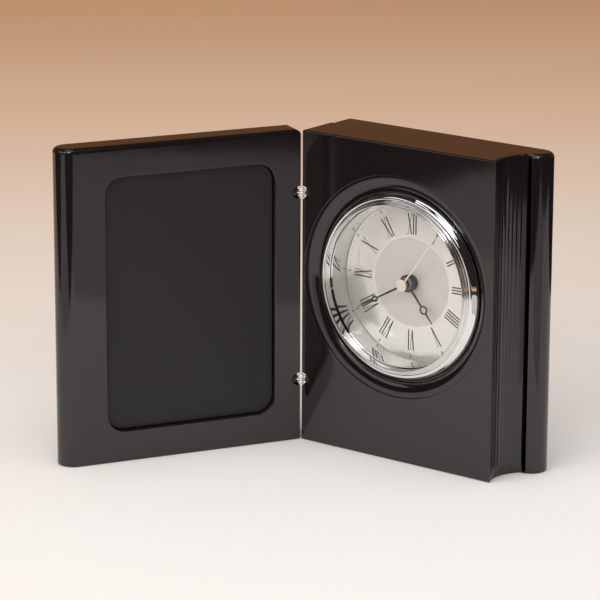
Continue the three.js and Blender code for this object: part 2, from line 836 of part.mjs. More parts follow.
function statorPlate() {
  const [across, up] = rotorPlace;
  const pad = put(disc(statorPad, statorFront, statorBack, smallSides), rotorPlace);
  const outerEdge = coilAcross + coilRadius + runningGap + statorArm;
  const foot = coilFoot - seatGap - statorArm;
  const top = bar(across, outerEdge, statorFront, statorBack, up - statorArm / 2, up + statorArm / 2);
  const side = bar(outerEdge - statorArm, outerEdge, statorFront, statorBack, foot, up);
  const low = bar(coilAcross - coreWidth / 2, outerEdge, statorFront, statorBack, foot, foot + statorArm);
  const nearTop = coilTop + seatGap + statorArm;
  const near = bar(across, coilAcross + coreWidth / 2, statorFront, statorBack, nearTop - statorArm, nearTop);
  const link = bar(across, across + statorArm, statorFront, statorBack, nearTop - statorArm, up);
  const start = statorFront - cutOverrun;
  const end = statorBack + cutOverrun;
  const hole = put(disc(magnetRadius + runningGap, start, end, smallSides), rotorPlace);
  const shape = pad.add(top).add(side).add(low).add(near).add(link).subtract(hole);
  return piece("stator_plate", shape, looks.iron);
}

function coilCore() {
  const left = coilAcross - coreWidth / 2;
  const foot = coilFoot - seatGap - statorArm;
  const top = coilTop + seatGap + statorArm;
  const shape = bar(left, left + coreWidth, coreFront, coreFront + coreThickness, foot, top);
  return piece("coil_core", shape, looks.iron);
}

function coil() {
  const inner = coilRadius - coilWall;
  const shape = ring(inner, coilRadius, -coilLength / 2, coilLength / 2, smallSides).rotate(90, 0, 0);
  const depth = coreFront + coreThickness / 2;
  return piece("coil", shape.translate(coilAcross, depth, (coilTop + coilFoot) / 2), looks.copper);
}

// Circuit board with its chip and crystal, and the cell between its contacts

const boardFront = plateBack + seatGap;
const boardBack = boardFront + boardThickness;
const boardFoot = boardAbove - boardHeight / 2;
const cellBack = caseBackFront - seatGap;
const cellFront = cellBack - cellThickness;

function circuitBoard() {
  const left = -boardAcross - boardWidth / 2;
  const shape = bar(left, left + boardWidth, boardFront, boardBack, boardFoot, boardFoot + boardHeight);
  return piece("circuit_board", shape, looks.board);
}

function controlChip() {
  const right = boardWidth / 2 - boardAcross - seatGap;
  const front = boardBack + seatGap;
  const shape = bar(right - chipSide, right, front, front + chipHeight, boardAbove, boardAbove + chipSide);
  return piece("control_chip", shape, looks.blackened);
}

function quartzCrystal() {
  const can = new THREE.CylinderGeometry(crystalRadius, crystalRadius, crystalLength, smallSides);
  can.rotateX(Math.PI / 2);
  const across = seatGap + crystalRadius - boardAcross - boardWidth / 2;
  can.translate(across, boardBack + seatGap + crystalRadius, boardAbove);
  return piece("quartz_crystal", solid(can), looks.nickel);
}

function buttonCell() {
  const shape = disc(cellRadius, cellFront, cellBack, smallSides);
  return piece("button_cell", put(shape, cellPlace), looks.nickel);
}

const contactFront = boardBack + seatGap;
const contactBack = contactFront + contactThickness;
const contactTop = boardFoot + contactWidth;

function plusContact() {
  const left = cellPlace[0] - contactWidth / 2;
  const right = left + contactWidth;
  const foot = cellPlace[1] + cellRadius + seatGap;
  const tab = bar(left, right, contactFront, contactBack, foot, contactTop);
  const blade = bar(left, right, contactFront, cellBack - contactWidth, foot, foot + contactThickness);
  return piece("plus_contact", tab.add(blade), looks.nickel);
}

function minusContact() {
  const right = cellPlace[0] - contactWidth;
  const left = right - contactWidth;
  const bend = cellPlace[1] + cellRadius + seatGap;
  const reach = cellFront - seatGap;
  const tab = bar(left, right, contactFront, contactBack, bend, contactTop);
  const riser = bar(left, right, contactFront, reach, bend, bend + contactThickness);
  const tongue = bar(left, right, reach - contactThickness, reach, cellPlace[1], bend + contactThickness);
  return piece("minus_contact", tab.add(riser).add(tongue), looks.nickel);
}

// Hands, drawn pointing at twelve and then turned clockwise

function taper(rootWidth, tipWidth, foot, top, front) {
  const outline = [[-rootWidth / 2, foot], [rootWidth / 2, foot], [tipWidth / 2, top], [-tipWidth / 2, top]];
  return flat(new THREE.Shape(vectors(outline)), front, front + handThickness);
}

const hourHand = {
  hubWall: hourHubWall,
  length: hourHandLength,
  eyeDistance: hourEyeDistance,
  eyeRadius: hourEyeRadius,
  eyeHoleRadius: hourEyeHoleRadius,
  root: hourHandRoot,
  neck: hourHandNeck,
  tip: hourHandTip,
};
const minuteHand = {
  hubWall: handHubWall,
  length: minuteHandLength,
  eyeDistance: minuteEyeDistance,
  eyeRadius: minuteEyeRadius,
  eyeHoleRadius: minuteEyeHoleRadius,
  root: minuteHandRoot,
  neck: minuteHandNeck,
  tip: minuteHandTip,
};

function ringedHand(name, hand, shaftRadius, front, turn) {
  const back = front + handThickness;
  const hub = disc(shaftRadius + hand.hubWall, front, back, smallSides);
  const arm = taper(hand.root, hand.neck, 0, hand.eyeDistance, front);
  const eye = put(disc(hand.eyeRadius, front, back, smallSides), [0, hand.eyeDistance]);
  const point = taper(hand.neck, hand.tip, hand.eyeDistance, hand.length, front);
  const start = front - cutOverrun;
  const end = back + cutOverrun;
  const eyeHole = put(disc(hand.eyeHoleRadius, start, end, smallSides), [0, hand.eyeDistance]);
  const shaftHole = disc(shaftRadius + pressGap, start, end, smallSides);
  const shape = hub.add(arm).add(eye).add(point).subtract(eyeHole).subtract(shaftHole);
  return piece(name, shape.rotate(0, turn, 0), looks.blackened);
}

function sweepHand(turn) {
  const front = secondHandFront;
  const back = front + handThickness;
  const hub = disc(secondArborRadius + handHubWall, front, back, smallSides);
  const arm = taper(secondHandRoot, secondHandTip, -secondHandTail, secondHandLength, front);
  const start = front - cutOverrun;
  const shaftHole = disc(secondArborRadius + pressGap, start, back + cutOverrun, smallSides);
  return piece("second_hand", hub.add(arm).subtract(shaftHole).rotate(0, turn, 0), looks.whitened);
}

function handCap() {
  const back = capFront + capThickness;
  return piece("second_hand_cap", disc(capRadius, capFront, back, smallSides), looks.cream);
}

// Assembly

const hourTurn = 30 * (shownHour + shownMinute / 60);
const minuteTurn = 6 * shownMinute;
const secondTurn = 6 * shownSecond;

const insert = new THREE.Group();
insert.position.set(0, blockFront, clockHeight);
insert.add(bezelRing(), lens(), reflectorRing(), dial(), dialNut(), insertCase(), gasketRing(), batteryCap());
insert.add(movementPlate(), trainBridge(), bridgeScrew(0), bridgeScrew(1), bridgeScrew(2));
insert.add(secondWheel(), centreWheel(), hourWheel(), minuteWheel(), settingKnob(), thirdWheel());
insert.add(intermediateWheel(), rotorPinion(), rotorMagnet(), statorPlate(), coilCore(), coil());
insert.add(circuitBoard(), controlChip(), quartzCrystal(), buttonCell(), plusContact(), minusContact());
insert.add(ringedHand("hour_hand", hourHand, hourPipeOuter, hourHandFront, hourTurn));
insert.add(ringedHand("minute_hand", minuteHand, cannonOuter, minuteHandFront, minuteTurn));
insert.add(sweepHand(secondTurn), handCap());

const cover = new THREE.Group();
cover.position.set(foldX, foldY, 0);
cover.rotation.z = -openingAngle;
cover.add(frontCover(), engravingPlate());

const clock = new THREE.Group();
clock.add(pageBlock(), backCover(), insert, cover);
for (const [place, height] of Object.entries(hingeHeights)) {
  const fixed = new THREE.Group();
  fixed.position.set(foldX, foldY, height);
  fixed.add(hingeBlockHalf(`${place}_hinge_block_half`), hingePin(`${place}_hinge_pin`));
  clock.add(fixed);
  const folding = hingeCoverHalf(`${place}_hinge_cover_half`);
  folding.position.z = height;
  cover.add(folding);
}

export default clock;
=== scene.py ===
# Book clock: a black lacquered wooden book that stands open on its foot. Its thick half holds a
# round quartz clock insert, and its thin half is a cover with an engraving plate in a recess.
# Metres, +Z up, the clock faces -Y. Every piece is placed from the frame of solid parts.
import json
from math import asin, cos, inf, pi, radians, sin

import bmesh
import bpy
from mathutils import Euler, Matrix, Vector


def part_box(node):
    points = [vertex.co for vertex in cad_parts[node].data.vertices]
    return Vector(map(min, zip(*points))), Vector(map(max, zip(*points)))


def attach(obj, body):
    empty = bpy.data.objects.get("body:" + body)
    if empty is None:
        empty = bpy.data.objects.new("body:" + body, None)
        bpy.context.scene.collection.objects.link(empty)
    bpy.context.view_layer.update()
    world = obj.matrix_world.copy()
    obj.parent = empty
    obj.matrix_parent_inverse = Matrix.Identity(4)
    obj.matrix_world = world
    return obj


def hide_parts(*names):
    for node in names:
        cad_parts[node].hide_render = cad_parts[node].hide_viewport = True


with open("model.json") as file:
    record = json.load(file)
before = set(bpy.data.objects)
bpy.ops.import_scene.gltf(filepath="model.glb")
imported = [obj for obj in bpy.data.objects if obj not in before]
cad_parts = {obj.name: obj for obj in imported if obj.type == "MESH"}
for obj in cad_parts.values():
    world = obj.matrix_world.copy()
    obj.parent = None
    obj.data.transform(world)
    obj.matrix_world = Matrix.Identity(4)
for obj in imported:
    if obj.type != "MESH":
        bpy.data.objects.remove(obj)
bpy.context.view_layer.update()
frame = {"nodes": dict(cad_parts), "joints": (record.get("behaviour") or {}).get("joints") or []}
scene = bpy.context.scene
scene.view_settings.view_transform = "Standard"
MM = 0.001


def show(name, data):
    """An object of the scene that holds a mesh, curve, lamp or camera."""
    made = bpy.data.objects.new(name, data)
    scene.collection.objects.link(made)
    return made


# Camera
# It stands where the photograph was taken from, a little above and to the right of the book.
# Place, turn and lens were fitted to the book's edges and to the circles of the dial.
camera_place = Vector((0.7346, -1.0400, 0.4093))
camera_turn = radians(37.427)
camera_dip = radians(15.132)
camera_roll = radians(0.201)
image_pixels = 600
focal_pixels = 3198.9
sensor_width = 36

camera_data = bpy.data.cameras.new("camera")
camera_data.sensor_width = sensor_width
camera_data.lens = sensor_width * focal_pixels / image_pixels
camera = show("camera", camera_data)
aim = Euler((pi / 2 - camera_dip, 0, camera_turn)).to_matrix().to_4x4()
camera.matrix_world = Matrix.Translation(camera_place) @ aim @ Matrix.Rotation(camera_roll, 4, "Z")
scene.camera = camera


# Finishes
# Every finish is a shader of its own, written as sums on sockets. A Link is one socket of the
# shader that takes part in such a sum, and a Finish holds one material and its main shader.
class Link:
    def __init__(self, finish, socket):
        self.finish = finish
        self.socket = socket

    def calculate(self, operation, *values):
        numbers = dict(enumerate(values))
        return self.finish.node("ShaderNodeMath", numbers, {"operation": operation})

    def __add__(self, other):
        return self.calculate("ADD", self, other)

    __radd__ = __add__

    def __sub__(self, other):
        return self.calculate("SUBTRACT", self, other)

    def __rsub__(self, other):
        return self.calculate("SUBTRACT", other, self)

    def __mul__(self, other):
        return self.calculate("MULTIPLY", self, other)

    __rmul__ = __mul__

    def __truediv__(self, other):
        return self.calculate("DIVIDE", self, other)

    def rise(self, low, high):
        """0 below low and 1 above high, with a smooth rise between them."""
        settings = {"interpolation_type": "SMOOTHSTEP"}
        sockets = {"Value": self, "From Min": low, "From Max": high}
        return self.finish.node("ShaderNodeMapRange", sockets, settings)


class Finish:
    def __init__(self, name, owner=None):
        self.owner = owner or bpy.data.materials.new(name)
        self.owner.use_nodes = True
        self.tree = self.owner.node_tree
        self.tree.nodes.clear()
        self.body = None

    def node(self, kind, sockets=None, settings=None, output=0):
        """Adds a node with its sockets' values or links and its settings, and gives an output."""
        made = self.tree.nodes.new(kind)
        for key, value in (settings or {}).items():
            setattr(made, key, value)
        for key, value in (sockets or {}).items():
            self.join(made.inputs[key], value)
        return Link(self, made.outputs[output])

    def join(self, socket, value):
        """Links a socket to another, or sets its number, vector or red, green and blue."""
        if isinstance(value, Link):
            self.tree.links.new(value.socket, socket)
        else:
            socket.default_value = (*value, 1.0) if socket.type == "RGBA" else value

    def place(self):
        """The place on the piece, in metres."""
        return self.node("ShaderNodeTexCoord", output="Object")

    def stretched(self, scale):
        """The place on the piece, scaled along each axis."""
        return self.node("ShaderNodeMapping", {"Vector": self.place(), "Scale": scale})

    def vector(self, operation, first, second=(0, 0, 0), output=0):
        """One step of vector maths."""
        settings = {"operation": operation}
        return self.node("ShaderNodeVectorMath", {0: first, 1: second}, settings, output)

    def noise(self, where, scale, detail=2.0):
        sockets = {"Vector": where, "Scale": scale, "Detail": detail}
        return self.node("ShaderNodeTexNoise", sockets)

    def blend(self, share, first, second):
        """A colour from the first to the second by a share."""
        settings = {"data_type": "RGBA"}
        return self.node("ShaderNodeMix", {0: share, 6: first, 7: second}, settings, output=2)

    def bump(self, height, distance, strength):
        sockets = {"Height": height, "Distance": distance, "Strength": strength}
        return self.node("ShaderNodeBump", sockets)

    def coat(self, kind="ShaderNodeBsdfPrincipled", **values):
        """The main shader, with its sockets named in lower case with underscores."""
        names = {key: key.replace("_", " ").title().replace("Ior", "IOR") for key in values}
        self.body = self.node(kind, {names[key]: value for key, value in values.items()})

    def close(self, kind="ShaderNodeOutputMaterial"):
        out = self.tree.nodes.new(kind)
        self.tree.links.new(self.body.socket, out.inputs["Surface"])
        return self.owner


def mottled(name, dark, light, scale, roughness, uneven, detail=2.0, metallic=0.0):
    """A finish whose colour and gloss both vary with one fine noise over the piece."""
    finish = Finish(name)
    grain = finish.noise(finish.place(), scale, detail)
    finish.coat(
        base_color=finish.blend(grain, dark, light),
        metallic=metallic,
        roughness=roughness + uneven * grain,
    )
    return finish.close()


# Studio
# A pale floor that turns tan with distance, partly its own tan and partly a painted falloff of
# light, a tan wall behind, soft lamps that each light either the paint or the shine, and cards on
# the floor that only the shine sees, which paint dark and grey reflections.
floor_half = 6.0
# The ramp's middle sits right of the book, so the painted falloff makes the floor's left side
# darker.
floor_middle = (0.15, -0.04, 0.0)
# distance from the middle, colour (the floor's tan with a painted falloff of light)
floor_tone_and_painted_falloff = (
    (0.00, (0.85, 0.830, 0.825)),
    (0.14, (0.85, 0.828, 0.820)),
    (0.22, (0.80, 0.755, 0.725)),
    (0.32, (0.78, 0.71, 0.66)),
    (0.44, (0.80, 0.69, 0.61)),
    (0.56, (0.79, 0.645, 0.54)),
    (0.70, (0.78, 0.58, 0.445)),
    (0.85, (0.76, 0.51, 0.355)),
    (1.20, (0.70, 0.40, 0.225)),
    (1.80, (0.62, 0.345, 0.19)),
)
floor_reach = floor_tone_and_painted_falloff[-1][0]
view_line = (-sin(camera_turn), cos(camera_turn), 0)
side_line = (cos(camera_turn), sin(camera_turn), 0)
side_weight = 0.35
wall_tan = (0.27, 0.120, 0.050)
wall_high = (0.06, 0.035, 0.022)
dark_room = (0.02, 0.018, 0.017)
air_low = (0.72, 0.60, 0.50)
air_high = (0.80, 0.76, 0.72)
behind_range = (-0.1, 0.5)
wall_range = (0.1, 0.75)
air_range = (-0.1, 0.6)
paint_dimming = 0.45
clock_middle = (0, 0, 0.07)
lamp_colour = (1.0, 0.985, 0.97)
# name, place, target, size, watts, what it lights
lamps = (
    ("key_light", (-0.40, -1.70, 1.15), clock_middle, (1.6, 1.6), 17.5, "paint"),
    ("fill_light", (1.0, -1.5, 1.1), clock_middle, (1.4, 1.4), 14, "paint"),
    ("top_light", (0.2, -0.25, 1.7), (0, -0.05, 0), (1.5, 1.2), 12, "paint"),
    ("small_gleam", (0.53, -0.83, 1.07), clock_middle, (0.22, 0.22), 2.0, "shine"),
    ("high_gleam", (0.2, -0.20, 1.3), (0.2, -0.20, 0), (1.1, 0.40), 1.8, "shine"),
    ("long_gleam", (-0.33, -1.02, 0.76), clock_middle, (1.2, 0.55), 2.3, "shine"),
    ("right_gleam", (0.32, -0.78, 1.05), clock_middle, (0.85, 0.75), 2.6, "shine"),
)
# Cards that only the gloss sees paint dark and grey reflections into the lacquer and chrome.
card_height = 0.002
black_reflection_tone = 0.015
grey_reflection_tone = 0.50
# name, near left corner, far right corner, grey level of the painted reflection
cards = (
    ("left_front_card", (-1.6, -1.6), (-0.27, -0.30), black_reflection_tone),
    ("middle_front_card", (-0.27, -1.6), (0.02, -0.31), grey_reflection_tone),
    ("right_front_card", (0.02, -1.6), (0.9, -0.31), black_reflection_tone),
    ("back_card", (-1.6, 0.28), (1.6, 1.6), black_reflection_tone),
    ("side_card", (0.50, -0.31), (1.6, 0.28), black_reflection_tone),
    ("right_card", (0.16, -0.31), (0.50, -0.03), grey_reflection_tone),
)


def rectangle(left, right, low, high):
    return [(left, low), (right, low), (right, high), (left, high)]


def flat_sheet(name, low, high, height):
    """A level sheet of the studio between two corners."""
    mesh = bpy.data.meshes.new(name)
    corners = [(x, y, height) for x, y in rectangle(low[0], high[0], low[1], high[1])]
    mesh.from_pydata(corners, [], [(0, 1, 2, 3)])
    sheet = show(name, mesh)
    return sheet


def soft_light(name, place, target, size, power, seen_by):
    """A soft box that lights either the dull surfaces or the reflections of the shiny ones."""
    data = bpy.data.lights.new(name, "AREA")
    data.shape = "RECTANGLE"
    data.size, data.size_y = size
    data.energy = power
    data.color = lamp_colour
    lamp = show(name, data)
    aim_at = (Vector(target) - Vector(place)).to_track_quat("-Z", "Y")
    lamp.matrix_world = Matrix.Translation(place) @ aim_at.to_matrix().to_4x4()
    lamp.visible_glossy = seen_by == "shine"
    lamp.visible_diffuse = seen_by == "paint"


def reflection_card(name, low, high, tone):
    """A sheet on the floor that only the gloss sees. It paints a dark or grey reflection."""
    sheet = flat_sheet(name, low, high, card_height)
    sheet.visible_camera = False
    sheet.visible_diffuse = False
    sheet.visible_shadow = False
    sheet.visible_transmission = False
    card_finish = Finish(name)
    shade = card_finish.noise(card_finish.place(), scale=40)
    dark, light = (tone, tone, tone), (tone * 1.1, tone * 1.05, tone)
    card_finish.coat(base_color=card_finish.blend(shade, dark, light), roughness=1.0)
    sheet.data.materials.append(card_finish.close())


floor = flat_sheet("floor", (-floor_half, -floor_half), (floor_half, floor_half), 0)
paper = Finish("floor_paper")
from_clock = paper.vector("SUBTRACT", paper.place(), floor_middle)
away = paper.vector("DOT_PRODUCT", from_clock, view_line, "Value")
aside = paper.vector("DOT_PRODUCT", from_clock, side_line, "Value")
spread = away * away + aside * aside * side_weight
share = spread.calculate("SQRT", spread) / floor_reach
# Colour by distance from the middle: the floor's own tan with a painted falloff of light.
floor_ramp_with_painted_falloff = paper.node("ShaderNodeValToRGB", {0: share})
stops = floor_ramp_with_painted_falloff.socket.node.color_ramp.elements
while len(stops) < len(floor_tone_and_painted_falloff):
    stops.new(0.5)
for stop, (at, shade) in zip(stops, floor_tone_and_painted_falloff):
    stop.position = at / floor_reach
    stop.color = (*shade, 1.0)
paper.coat(base_color=floor_ramp_with_painted_falloff, roughness=0.9)
floor.data.materials.append(paper.close())

world = bpy.data.worlds.new("studio")
scene.world = world
air = Finish("studio", world)
direction = {0: air.node("ShaderNodeTexCoord", output="Generated")}
across, along, up = (
    air.node("ShaderNodeSeparateXYZ", direction, output=axis) for axis in range(3)
)
behind = (along * cos(camera_turn) - across * sin(camera_turn)).rise(*behind_range)
wall = air.blend(up.rise(*wall_range), wall_tan, wall_high)
gloss_view = air.blend(behind, dark_room, wall)
plain_view = air.blend(up.rise(*air_range), air_low, air_high)
on_gloss = air.node("ShaderNodeLightPath", output="Is Glossy Ray")
on_paint = air.node("ShaderNodeLightPath", output="Is Diffuse Ray")
seen = air.blend(on_gloss, plain_view, gloss_view)
air.coat("ShaderNodeBackground", color=seen, strength=1.0 - paint_dimming * on_paint)
air.close("ShaderNodeOutputWorld")

for lamp_entry in lamps:
    soft_light(*lamp_entry)
for card_entry in cards:
    reflection_card(*card_entry)


# Wooden leaves
# The pages, the back cover glued to them and the loose front cover are solid wood, shaped,
# rubbed down and dipped in many coats of black lacquer that is polished to a mirror.
pages_low, pages_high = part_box("page_block")
back_low, back_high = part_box("back_cover")
book_height = pages_high.z - pages_low.z
face = pages_low.y
joint = pages_high.y
page_depth = joint - face
spine = pages_low.x
page_half = -spine
page_flare = pages_high.x - page_half
page_hollow = 3.05 * MM
spine_round = 0.3 * MM
spine_steps = 8
foot_round = 0.8 * MM
block_top_round = 0.8 * MM
cover_top_round = 2.2 * MM
edge_steps = 6
fine_steps = 4
groove_count = 10
groove_half = 0.42 * MM
groove_depth = 0.42 * MM
groove_steps = 6
cover_width = back_high.x - back_low.x
cover_thickness = back_high.y - back_low.y
nose = cover_thickness / 2
nose_steps = 40
plain_crease = radians(30)
lacquer_black = (0.0065, 0.0052, 0.0050)
lacquer_brown = (0.011, 0.0085, 0.0075)


def page_edge(depth):
    """How far the page edge lies from the middle of the block at a depth behind the front."""
    part = depth / page_depth
    return page_half + page_flare * part - page_hollow * 4 * part * (1 - part)


def corner_point(place, inward):
    """A point of an outline with the way that the rounding of its top edge moves it."""
    return place, inward, inf, (0, 0)


def turn_points(centre, radius, start, end, steps):
    """Points of an arc that move to its centre, and from there along the middle of its corner."""
    onward = (-cos(start) - cos(end), -sin(start) - sin(end))
    made = []
    for step in range(steps + 1):
        angle = start + (end - start) * step / steps
        out = (cos(angle), sin(angle))
        place = (centre[0] + radius * out[0], centre[1] + radius * out[1])
        made.append((place, (-out[0], -out[1]), radius, onward))
    return made


def page_points():
    """The block's outline from above, each point with the way its top edge is rounded."""
    centre = (spine + spine_round, face + spine_round)
    points = turn_points(centre, spine_round, pi, 1.5 * pi, spine_steps)
    points.append(corner_point((page_edge(0), face), (-1, 1)))
    for groove in range(1, groove_count + 1):
        middle = page_depth * groove / (groove_count + 1)
        for step in range(-groove_steps, groove_steps + 1):
            part = step / groove_steps
            depth = middle + groove_half * part
            cut = groove_depth * (1 + cos(pi * part)) / 2
            points.append(corner_point((page_edge(depth) - cut, face + depth), (-1, 0)))
    points.append(corner_point((page_edge(page_depth), joint), (-1, 0)))
    points.append(corner_point((spine, joint), (1, 0)))
    return points


def cover_points(inner_start):
    """A cover's outline from above, from its spine at the origin, inner face on the X axis."""
    points = list(inner_start)
    points += turn_points((cover_width - nose, nose), nose, -pi / 2, pi / 2, nose_steps)
    outer = (spine_round, cover_thickness - spine_round)
    points += turn_points(outer, spine_round, pi / 2, pi, spine_steps)
    return points


def edge_levels(radius, steps=edge_steps):
    """The rounding of an edge as (inset, rise) from its end face to its side."""
    angles = [pi / 2 * step / steps for step in range(steps + 1)]
    return [(radius * (1 - sin(angle)), radius * (1 - cos(angle))) for angle in angles]


def stack(outlines):
    """A closed shape through outlines of equally many points, with a flat face at each end."""
    count = len(outlines[0])
    vertices = [point for outline in outlines for point in outline]
    faces = [tuple(reversed(range(count))), tuple(range(len(vertices) - count, len(vertices)))]
    for base in range(0, len(vertices) - count, count):
        for index in range(count):
            after = (index + 1) % count
            faces.append((base + index, base + after, base + count + after, base + count + index))
    return vertices, faces


def board(points, height, top_round):
    """A board with rounded top and bottom edges from an outline seen from above."""
    levels = edge_levels(foot_round)
    levels += [(inset, height - rise) for inset, rise in reversed(edge_levels(top_round))]
    outlines = []
    for inset, level in levels:
        outline = []
        for place, inward, radius, onward in points:
            near = min(inset, radius)
            far = inset - near
            moved = [place[axis] + inward[axis] * near + onward[axis] * far for axis in range(2)]
            outline.append((*moved, level))
        outlines.append(outline)
    return stack(outlines)


def lathe(profile, sides):
    """A closed shape turned about the depth axis from (radius, depth) points."""
    vertices, rings, faces = [], [], []
    for radius, depth in profile:
        if radius == 0:
            rings.append([len(vertices)] * sides)
            vertices.append((0, depth, 0))
            continue
        rings.append(range(len(vertices), len(vertices) + sides))
        for side in range(sides):
            angle = 2 * pi * side / sides
            vertices.append((radius * sin(angle), depth, radius * cos(angle)))
    for first, second in zip(rings, rings[1:] + rings[:1]):
        for side in range(sides):
            after = (side + 1) % sides
            corners = (first[side], first[after], second[after], second[side])
            corners = tuple(dict.fromkeys(corners))
            if len(corners) > 2:
                faces.append(corners)
    return vertices, faces


def mend(mesh):
    """Merges doubled points and turns every face outwards."""
    work = bmesh.new()
    work.from_mesh(mesh)
    bmesh.ops.remove_doubles(work, verts=work.verts, dist=1e-7)
    bmesh.ops.recalc_face_normals(work, faces=work.faces)
    work.to_mesh(mesh)
    work.free()


def raw_object(name, shape, transform=None):
    """An object from vertices and faces, merged and with its faces turned outwards."""
    mesh = bpy.data.meshes.new(name)
    vertices, faces = shape
    mesh.from_pydata(vertices, [], faces)
    mend(mesh)
    if transform is not None:
        mesh.transform(transform)
    return show(name, mesh)


def finished_mesh(made):
    """The object's mesh with its modifiers applied."""
    graph = bpy.context.evaluated_depsgraph_get()
    return bpy.data.meshes.new_from_object(made.evaluated_get(graph))


def settle(made):
    """Applies the object's modifiers to its mesh."""
    mesh = finished_mesh(made)
    made.modifiers.clear()
    made.data = mesh
    made.data.name = made.name


def carve(made, *others, operation="DIFFERENCE"):
    """Cuts other objects out of one, or joins them to it, and takes them away."""
    for other in others:
        cut = made.modifiers.new("cut", "BOOLEAN")
        cut.operation = operation
        cut.solver = "EXACT"
        cut.object = other
    settle(made)
    for other in others:
        bpy.data.objects.remove(other)


def polish(made, sharp=plain_crease):
    """Smooth shading that keeps flat faces flat and edges past an angle sharp."""
    made.data.shade_smooth()
    made.data.set_sharp_from_angle(angle=sharp)
    even = made.modifiers.new("even", "WEIGHTED_NORMAL")
    even.keep_sharp = True
    settle(made)


def fit(made, material, body, slot, *nodes):
    """Gives a piece its finish, its body and the solid parts that it stands for."""
    made.data.materials.clear()
    made.data.materials.append(material)
    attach(made, body)
    if nodes:
        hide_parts(*nodes)


def dress(material, *names):
    """Gives solid parts that are shown as they are a finish."""
    for name in names:
        slots = frame["nodes"][name].data.materials
        if not slots:
            slots.append(material)
        for index in range(len(slots)):
            slots[index] = material


def round_part(node):
    """The radius of a turned part, and how far its front and back lie behind the wood's face."""
    low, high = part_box(node)
    return (high.x - low.x) / 2, low.y - face, high.y - face


bezel_low, bezel_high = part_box("bezel_ring")
dial_middle = Vector((0, face, (bezel_low.z + bezel_high.z) / 2))
to_insert = Matrix.Translation(dial_middle)
bezel_radius, _, sleeve_back = round_part("bezel_ring")
seat_depth = 3.4 * MM
ring_radius = 46.4 * MM
ring_step = 0.6 * MM
ring_bead = 0.8 * MM
ring_foot = bezel_radius + 0.5 * MM
ring_soft = 0.25 * MM
cove_steps = 20
bore_play = 0.2 * MM
knob_play = 0.9 * MM
bore_radius = round_part("gasket_ring")[0] + bore_play
bore_depth = round_part("setting_knob")[2] + knob_play
overrun = 1 * MM
round_sides = 256


def turned(name, profile, sides=round_sides, sharp=plain_crease):
    """A piece of the insert turned about the middle of the dial and smoothed."""
    made = raw_object(name, lathe(profile, sides), to_insert)
    polish(made, sharp)
    return made


def insert_cutter():
    """The bore for the insert, the seat of its bezel and the moulded ring around it."""
    top = ring_radius - ring_bead
    profile = [(0, -overrun), (ring_radius + ring_soft, -overrun)]
    profile += [(ring_radius + inset, rise) for inset, rise in edge_levels(ring_soft, fine_steps)]
    profile.append((ring_radius, ring_step))
    for step in range(cove_steps + 1):
        angle = pi / 2 * step / cove_steps
        radius = ring_foot + (top - ring_foot) * (1 - sin(angle))
        depth = ring_step + (seat_depth - ring_step) * (1 - cos(angle))
        profile.append((radius, depth))
    profile += [(bore_radius, seat_depth), (bore_radius, bore_depth), (0, bore_depth)]
    return raw_object("insert_cutter", lathe(profile, round_sides), to_insert)


hinge_names = ("lower", "upper")
hinge_heights = {name: sum(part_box(f"{name}_hinge_pin"), Vector()).z / 2 for name in hinge_names}
pin_low, pin_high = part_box("upper_hinge_pin")
fold = Vector(((pin_low.x + pin_high.x) / 2, (pin_low.y + pin_high.y) / 2, 0))
leaf_gap = 2 * (face - fold.y)
cover_joint = next(entry for entry in frame["joints"] if entry["name"] == "cover_fold")
opening = radians(-cover_joint["range_deg"][0])
to_cover = Matrix.Translation(fold) @ Matrix.Rotation(-opening, 4, "Z")
barrel_radius = 2.5 * MM
barrel_end = 12.4 * MM
barrel_play = 0.3 * MM
barrel_sides = 48


def barrel_cutters(bearing, transform):
    """The drilled holes that the hinge barrels sit in, along the diagonal of a leaf's corner."""
    profile = rectangle(0, barrel_radius + barrel_play, 0, barrel_end + barrel_play)
    along_x = Matrix.Rotation(bearing, 4, "Z") @ Matrix.Rotation(-pi / 2, 4, "Z")
    cutters = []
    for height in hinge_heights.values():
        place = transform @ Matrix.Translation((0, 0, height)) @ along_x
        cutters.append(raw_object("barrel_cutter", lathe(profile, barrel_sides), place))
    return cutters


lacquer = Finish("black_lacquer")
ripple = lacquer.noise(lacquer.place(), scale=70, detail=1.0)
haze = lacquer.noise(lacquer.place(), scale=24, detail=3.0)
pores = lacquer.noise(lacquer.stretched((1.0, 1.0, 0.12)), scale=900)
lacquer.coat(
    base_color=lacquer.blend(pores.rise(0.55, 0.8) * 0.5, lacquer_black, lacquer_brown),
    roughness=0.05 + 0.05 * haze,
    ior=1.62,
    normal=lacquer.bump(ripple, distance=0.00008, strength=0.25),
)
lacquer_material = lacquer.close()

page_block = raw_object("lacquered_pages", board(page_points(), book_height, block_top_round))
to_fold = Matrix.Translation(fold)
carve(page_block, insert_cutter(), *barrel_cutters(pi / 4, to_fold))
polish(page_block)
fit(page_block, lacquer_material, "block", "lacquered_wood", "page_block")

page_reach = page_edge(page_depth) - back_low.x
glued = [corner_point((0, 0), (1, 0)), corner_point((page_reach, 0), (0, 0))]
glued.append(corner_point((page_reach + cover_top_round, 0), (0, 1)))
back_board = board(cover_points(glued), book_height, cover_top_round)
back_cover = raw_object("lacquered_back_cover", back_board)
back_cover.data.transform(Matrix.Translation((back_low.x, joint, 0)))
carve(back_cover, insert_cutter())
polish(back_cover)
fit(back_cover, lacquer_material, "block", "lacquered_wood", "back_cover")

recess_spine = 11.6 * MM
recess_fore = 19.7 * MM
recess_end = 13.2 * MM
recess_depth = 3.6 * MM
recess_round = 7.5 * MM
recess_soft = 0.5 * MM
recess_width = cover_width - recess_spine - recess_fore
recess_height = book_height - 2 * recess_end
to_recess = Matrix.Translation((recess_spine + recess_width / 2, 0, book_height / 2))
corner_steps = 12


